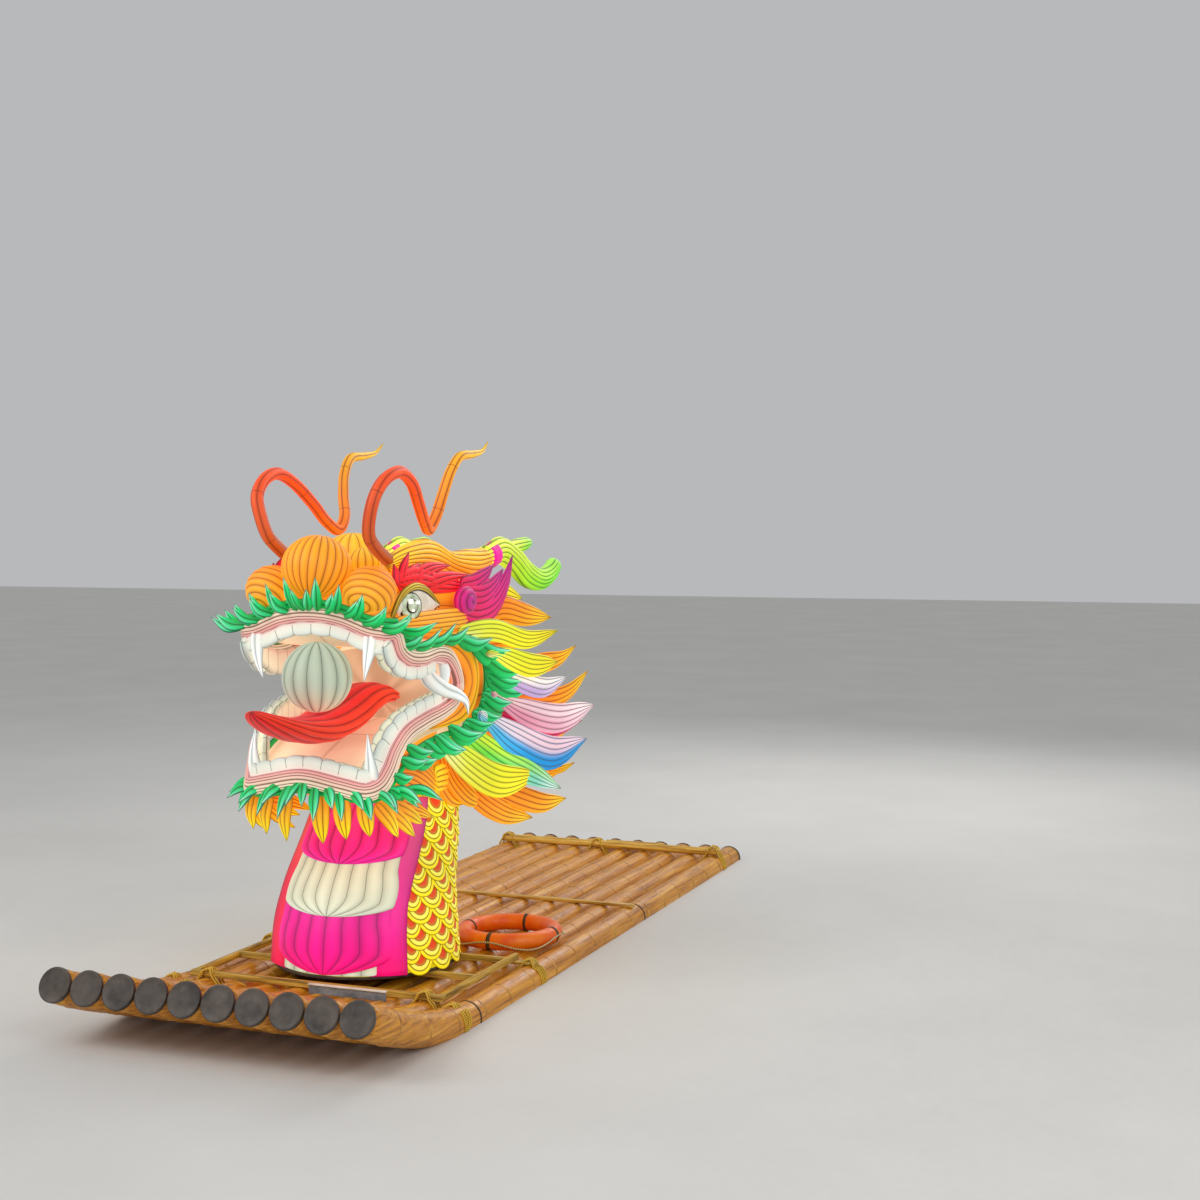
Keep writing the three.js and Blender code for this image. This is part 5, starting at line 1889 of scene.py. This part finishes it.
    def build_eye(self) -> None:
        """Builds the eye: a white almond with a glazed iris, gold lids and dark lines."""
        eye = Form("eye_left")
        almond = [(432, -1920, 2530), (455, -1800, 2535), (462, -1640, 2535), (452, -1400, 2522)]
        white = sweep(almond, [60, 176, 208, 206, 170, 110, 8], [70], SIDEWAYS, 1, 0.0, Wrap.AROUND, 30, 36)
        eye.add(white, EYE_WHITE)
        centre, way = np.array(self.iris, float), unit(np.array(self.iris_way))
        for out, radius, finish in (
            (10, 88, EYE_LINE), (18, 77, IRIS_GLASS), (28, 46, EYE_LINE), (34, 36, IRIS_GLASS),
        ):
            eye.add(dome(centre + out * way, way, radius, 12), finish)
        side = unit(np.cross(UPWARDS, way))
        for shift, lift, size in ((-26, 30, 15), (30, 22, 11), (-8, -26, 8)):
            middle = centre + 47 * way + shift * side + np.array([0, 0, lift])
            line = [middle - size * side, middle, middle + size * side]
            glint = sweep(line, [1.8 * size], [8], tuple(way), 1, 0.0, Wrap.AROUND, 4, 16, power=5)
            eye.add(glint, EYE_SHINE)
        upper = [(440, -1960, 2470), (470, -1900, 2590), (482, -1760, 2648), (480, -1580, 2625),
                 (474, -1400, 2530)]
        lower = [(440, -1950, 2470), (470, -1850, 2440), (480, -1700, 2436), (478, -1540, 2465),
                 (474, -1400, 2528)]
        eye.add(sweep(upper, [30, 44, 48, 44, 30, 14], [34], SIDEWAYS, 3, 0.35, Wrap.ACROSS, 36, 5), LID)
        for path, drop in ((upper, 22), (lower, 0)):
            rim = [(x + 6, y, z - drop) for x, y, z in path]
            eye.add(sweep(rim, [10], [10], SIDEWAYS, 1, 0.0, Wrap.AROUND, 36, 10), EYE_LINE)
        settle_pair(eye, "eye_shell", "eye")


@dataclass(frozen=True)
class Blade:
    """One leaf or petal: where it starts and ends, and its width."""

    root: Point
    tip: Point
    width: float

    def turned(self, side: int) -> tuple[tuple[float, ...], tuple[float, ...]]:
        """Its root and tip on one side: 1 for the dragon's left, -1 for its right."""
        return (side * self.root[0], *self.root[1:]), (side * self.tip[0], *self.tip[1:])


@dataclass
class Leaves:
    """The green silk leaves round the mouth and cheeks, the moustache and the beard."""

    cheek: tuple[Blade, ...] = (
        Blade((550, -1290, 2300), (580, -870, 2325), 112), Blade((562, -1130, 2268), (612, -600, 2165), 128),
        Blade((568, -960, 2190), (616, -480, 2105), 116), Blade((572, -920, 2130), (620, -330, 2022), 128),
        Blade((574, -900, 2030), (622, -285, 1907), 130), Blade((572, -920, 1945), (620, -480, 1850), 118),
        Blade((570, -980, 1885), (616, -560, 1800), 118), Blade((566, -1100, 1815), (610, -740, 1738), 112),
        Blade((556, -1220, 1755), (604, -900, 1690), 96), Blade((545, -1400, 1735), (600, -1040, 1655), 92),
        Blade((536, -1520, 1715), (590, -1230, 1590), 98), Blade((520, -1700, 1690), (560, -1400, 1600), 96),
        Blade((508, -1860, 1620), (545, -1560, 1570), 96), Blade((440, -2160, 2430), (500, -1760, 2478), 70),
        Blade((520, -2025, 2395), (545, -1670, 2402), 72), Blade((525, -1999, 2290), (560, -1740, 2385), 66),
        Blade((528, -1833, 2277), (566, -1531, 2385), 66), Blade((535, -1651, 2288), (575, -1341, 2410), 68),
        Blade((540, -1457, 2295), (590, -1181, 2380), 72), Blade((546, -1264, 2300), (630, -908, 2288), 92),
        Blade((560, -1060, 2275), (690, -724, 2195), 100), Blade((565, -930, 2160), (715, -588, 2055), 112),
        Blade((568, -890, 2060), (725, -560, 1985), 84), Blade((568, -885, 2005), (720, -516, 1914), 108),
        Blade((566, -950, 1925), (692, -730, 1850), 88), Blade((562, -1040, 1830), (682, -883, 1767), 76),
        Blade((556, -1180, 1775), (668, -960, 1740), 72), Blade((550, -1420, 1760), (665, -1124, 1690), 86),
        Blade((540, -1600, 1720), (640, -1400, 1605), 88), Blade((520, -1930, 1690), (600, -1720, 1640), 84),
        Blade((512, -1990, 1620), (588, -1780, 1590), 80), Blade((500, -2060, 1530), (555, -1900, 1505), 74),
        Blade((486, -2090, 1450), (535, -1950, 1420), 72),
    )
    cheek_band: Points = (
        (510, -1960, 2325), (515, -1760, 2285), (525, -1540, 2300), (535, -1300, 2315), (550, -1010, 2270),
        (560, -890, 2110), (560, -880, 1960), (558, -970, 1820), (548, -1180, 1725), (525, -1500, 1700),
        (508, -1780, 1650), (488, -2010, 1500), (470, -2060, 1440),
    )
    moustache_band: Points = (
        (0, -2185, 2556), (210, -2178, 2530), (390, -2150, 2462), (470, -2120, 2448), (520, -2040, 2440),
    )
    beard_band: Points = (
        (452, -1860, 1372), (435, -2030, 1392), (360, -2190, 1398), (200, -2235, 1420), (0, -2255, 1452),
    )
    petals: tuple[Blade, ...] = (
        Blade((112, -2258, 1420), (124, -2240, 1128), 118),
        Blade((250, -2242, 1400), (272, -2225, 1160), 112),
        Blade((378, -2195, 1390), (400, -2170, 1175), 108),
        Blade((418, -2130, 1370), (470, -1950, 1140), 112),
        Blade((436, -2060, 1345), (424, -1640, 1092), 104), Blade((440, -1960, 1340), (436, -1560, 1160), 96),
    )
    fan_count: int = 11

    def fan(self, band: Rows, rise: float, lean: float) -> list[Blade]:
        """Uneven leaves that fan out from the middle of a band to its end.

        Args:
            band: The band's middle line, from the raft's middle plane to its end.
            rise: How far the first tips stand above the band, or below it where it is negative.
            lean: How far the last tip leans outwards.

        Returns:
            The leaves.
        """
        blades = []
        for k, root in enumerate(smooth_path(band, self.fan_count)):
            share = k / (self.fan_count - 1)
            swing = 1 + 0.25 * (-1) ** k
            way = ((0.2 + share) * lean * swing, 115 * share - 105, rise * (1 - 0.6 * share) / swing)
            foot = root + (12, -14 * (1 - share), -0.25 * rise)
            blades.append(Blade(tuple(foot), tuple(foot + way), 58 + 8 * (k % 3)))
        return blades

    def build(self) -> None:
        """Builds the cheek leaves, the moustache and the beard."""
        cheek = Form("cheek_leaves_left")
        cheek.add(sweep(self.cheek_band, [40], [30], SIDEWAYS, 1, 0.3, Wrap.ACROSS, 60, 6), STALK)
        for blade in self.cheek:
            cheek.add(leaf(blade.root, blade.tip, blade.width), LEAF)
        settle_pair(cheek, "leaf_silk", "cheek_leaves")
        moustache = Form("moustache_leaves")
        path = [*flipped(self.moustache_band), *self.moustache_band[1:]]
        moustache.add(sweep(path, [60], [44], out_of_face, 2, 0.3, Wrap.ACROSS, 60, 4), STALK)
        beard = Form("beard_petals")
        path = [*self.beard_band, *flipped(self.beard_band)[1:]]
        beard.add(sweep(path, [56], [52], out_of_face, 2, 0.3, Wrap.ACROSS, 60, 4), STALK)
        fringe = Form("beard_leaves")
        for side in (-1, 1):
            for blade in self.fan(self.moustache_band, 165, 170):
                moustache.add(leaf(*blade.turned(side), blade.width, 0.14, (0.3 * side, -0.8, 0.5)), LEAF)
            for blade in self.fan(self.beard_band[::-1], -165, 175):
                fringe.add(leaf(*blade.turned(side), blade.width, -0.12, (0.3 * side, -1.0, 0.0)), LEAF)
            for blade in self.petals:
                self.add_petal(beard, blade, side)
        settle(moustache.build(), "leaf_silk", "moustache")
        settle(beard.build(), "scale_silk", "beard")
        settle(fringe.build(), "leaf_silk")

    def add_petal(self, form: Form, blade: Blade, side: int) -> None:
        """Adds a golden petal that bulges forwards.

        Args:
            form: The form that takes it.
            blade: The petal.
            side: 1 for the dragon's left, -1 for its right.
        """
        root, tip = (np.array(point) for point in blade.turned(side))
        way = tip - root
        out = unit(np.array([0.25 * side, -1.0, 0.0]) if abs(way[1]) < 100 else np.array([side, -0.3, 0.0]))
        path = [root, root + 0.5 * way + out * 24, tip + out * 4]
        form.add(lock(path, blade.width, 40, 3, tuple(out), 20, PETAL_WIDTHS), PETAL)


@dataclass
class Mane:
    """The mane: many-coloured locks that stream back from the cheeks and round the back of the head."""

    locks: tuple[Lock, ...] = (
        Lock(((460, -930, 2350), (560, -640, 2460), (660, -440, 2418), (750, -210, 2390)), 185, ORANGE, 5),
        Lock(((515, -1215, 2330), (620, -860, 2335), (740, -605, 2262), (850, -320, 2310)), 150, YELLOW, 5),
        Lock(((614, -990, 2190), (640, -820, 2172), (760, -610, 2092), (860, -355, 2097)),
             165, YELLOW, 5, 50, FINGER_WIDTHS),
        Lock(((520, -600, 2080), (600, -465, 2060), (740, -330, 2085), (820, -210, 2115), (900, -125, 2195)),
             150),
        Lock(((620, -845, 2055), (604, -740, 2040), (690, -605, 1975), (800, -450, 1930), (900, -295, 1992)),
             150, WHITE, 4, 50, FINGER_WIDTHS),
        Lock(((520, -600, 1880), (640, -465, 1845), (780, -330, 1835), (880, -210, 1885), (960, -50, 2015)),
             150),
        Lock(((620, -910, 1925), (606, -790, 1880), (710, -640, 1790), (860, -380, 1715), (1000, -25, 1778)),
             205, PINK, 5, 50, FINGER_WIDTHS),
        Lock(((560, -760, 1790), (690, -600, 1690), (830, -380, 1640), (950, -140, 1680)), 130, ROSE, 4),
        Lock(((520, -560, 1650), (620, -420, 1620), (740, -380, 1600), (820, -285, 1595), (900, -215, 1652)),
             140),
        Lock(((620, -1115, 1812), (604, -960, 1760), (700, -740, 1615), (860, -475, 1490),
              (1000, -180, 1560)), 250, BLUE, 6, 54, FINGER_WIDTHS),
        Lock(((540, -560, 1380), (660, -425, 1345), (760, -330, 1340), (860, -310, 1360), (950, -275, 1405)),
             140),
        Lock(((510, -1120, 1690), (660, -870, 1495), (800, -660, 1375), (920, -450, 1250)), 205, GREEN, 5),
        Lock(((490, -1390, 1665), (600, -1235, 1500), (700, -1000, 1368), (820, -605, 1360)), 235, YELLOW, 6),
        Lock(((470, -880, 1340), (560, -735, 1275), (680, -605, 1200), (780, -450, 1145), (860, -210, 1145)),
             165),
        Lock(((450, -1180, 1520), (530, -1025, 1290), (620, -780, 1130), (700, -425, 1035)), 175, ORANGE, 5),
        Lock(((452, -1300, 1585), (476, -1240, 1430), (520, -1120, 1300), (580, -910, 1185)), 170, ORANGE, 5),
        Lock(((440, -1370, 1500), (452, -1330, 1400), (470, -1220, 1290), (500, -1065, 1215)), 140),
        Lock(((454, -1955, 1545), (464, -1740, 1510), (460, -1500, 1410), (450, -1290, 1295)),
             215, ORANGE, 7, 44),
        Lock(((432, -2110, 1368), (440, -1840, 1312), (442, -1600, 1245), (438, -1410, 1172)),
             100, ORANGE, 4, 44),
        Lock(((320, -560, 2480), (420, -380, 2560), (520, -180, 2520)), 160, YELLOW, 4),
        Lock(((320, -560, 2230), (430, -330, 2270), (560, -90, 2200)), 185),
        Lock(((320, -560, 1960), (440, -300, 1950), (600, -40, 1880)), 185, YELLOW, 4),
        Lock(((320, -560, 1690), (440, -320, 1620), (600, -100, 1500)), 185),
        Lock(((140, -520, 2380), (190, -300, 2420), (240, -80, 2350)), 165),
        Lock(((140, -520, 2090), (190, -270, 2090), (250, -20, 1990)), 175, YELLOW, 4),
        Lock(((140, -520, 1800), (190, -280, 1750), (250, -60, 1620)), 175),
    )
    collar: tuple[tuple[float, ...], ...] = (
        (-980, 500, 1376, 2424), (-720, 494, 1376, 2444), (-500, 366, 1486, 2394),
    )
    jaw_band: Points = ((470, -880, 1500), (462, -1100, 1430), (458, -1430, 1420))

    def build(self) -> None:
        """Builds the mane on both sides, its collar and the bands that carry it."""
        mane = Form("mane_left")
        for row in self.locks:
            mane.add(lock(row.path, row.width, row.thick, row.ribs, widths=row.widths, twist=0.5), row.paint)
        mane.add(sweep(self.jaw_band, [230, 220, 170], [66], SIDEWAYS, 5, 0.3, Wrap.ACROSS, 16, 4), ORANGE)
        settle_pair(mane, "mane_silk", "mane")
        collar = block(self.collar, 28, 3.6, 14, 112)
        settle(Form("mane_collar").add(collar, ORANGE).build(), "mane_silk")


@dataclass
class Studio:
    """A plain pale floor at the waterline, soft lights and the camera at the photograph's angle.

    The eye and the waterline are in millimetres. The floor's half side and the lamps' places and sizes are in
    metres, and their power in watts.
    """

    waterline: float = 87.5
    eye: Point = (5332, -11249, 3002)
    tilt: float = 90 - 2.354
    swing: float = 20.921
    lens: float = 52.1
    floor_half: float = 60.0
    lamp_aim: Point = (0.0, -1.0, 1.4)
    lamps: tuple[tuple[str, Point, float, float], ...] = (
        ("key", (-5.0, -9.0, 8.0), 5.0, 400.0), ("fill", (9.0, -7.0, 6.0), 6.0, 300.0),
        ("back", (2.0, 9.0, 8.0), 6.0, 400.0),
    )

    def build_floor(self) -> None:
        """Builds the floor."""
        mesh = bpy.data.meshes.new("floor")
        h, z = self.floor_half, self.waterline * MM
        mesh.from_pydata([(-h, -h, z), (h, -h, z), (h, h, z), (-h, h, z)], [], [(0, 1, 2, 3)])
        mesh.materials.append(STUDIO_FLOOR.material())
        linked("floor", mesh)

    def build_camera(self) -> None:
        """Builds the camera."""
        data = bpy.data.cameras.new("camera")
        data.lens = self.lens
        camera = linked("camera", data)
        camera.location = Vector(self.eye) * MM
        camera.rotation_euler = Euler((math.radians(self.tilt), 0, math.radians(self.swing)))
        bpy.context.scene.camera = camera

    def build_lights(self) -> None:
        """Builds the soft lights and the pale surroundings."""
        world = bpy.data.worlds.new("studio")
        world.use_nodes = True
        tree = world.node_tree
        tree.nodes.clear()
        back = node(tree, "ShaderNodeBackground", {"Color": linear("E6E8EA"), "Strength": 0.6})
        node(tree, "ShaderNodeOutputWorld", {"Surface": back.outputs["Background"]})
        bpy.context.scene.world = world
        for name, place, size, power in self.lamps:
            data = bpy.data.lights.new(name, "AREA")
            data.size, data.energy = size, power
            light = linked(name, data)
            light.location = place
            aim = Vector(self.lamp_aim) - Vector(place)
            light.rotation_euler = aim.to_track_quat("-Z", "Y").to_euler()
        bpy.context.scene.view_settings.view_transform = "Standard"

    def build(self) -> None:
        """Builds the camera, floor and lights."""
        self.build_camera()
        self.build_floor()
        self.build_lights()


def main() -> None:
    """Builds the studio, the raft and its lantern."""
    logging.basicConfig(level=logging.INFO, format="%(name)s %(message)s")
    for part in (
        Studio(), Pipes(), Lashings(), DeckFrame(), LifeRing(), Plinth(), Neck(), Skull(), Mouth(), Face(),
        Leaves(), Mane(),
    ):
        LOG.info("building %s", type(part).__name__)
        part.build()


if __name__ == "__main__":
    main()
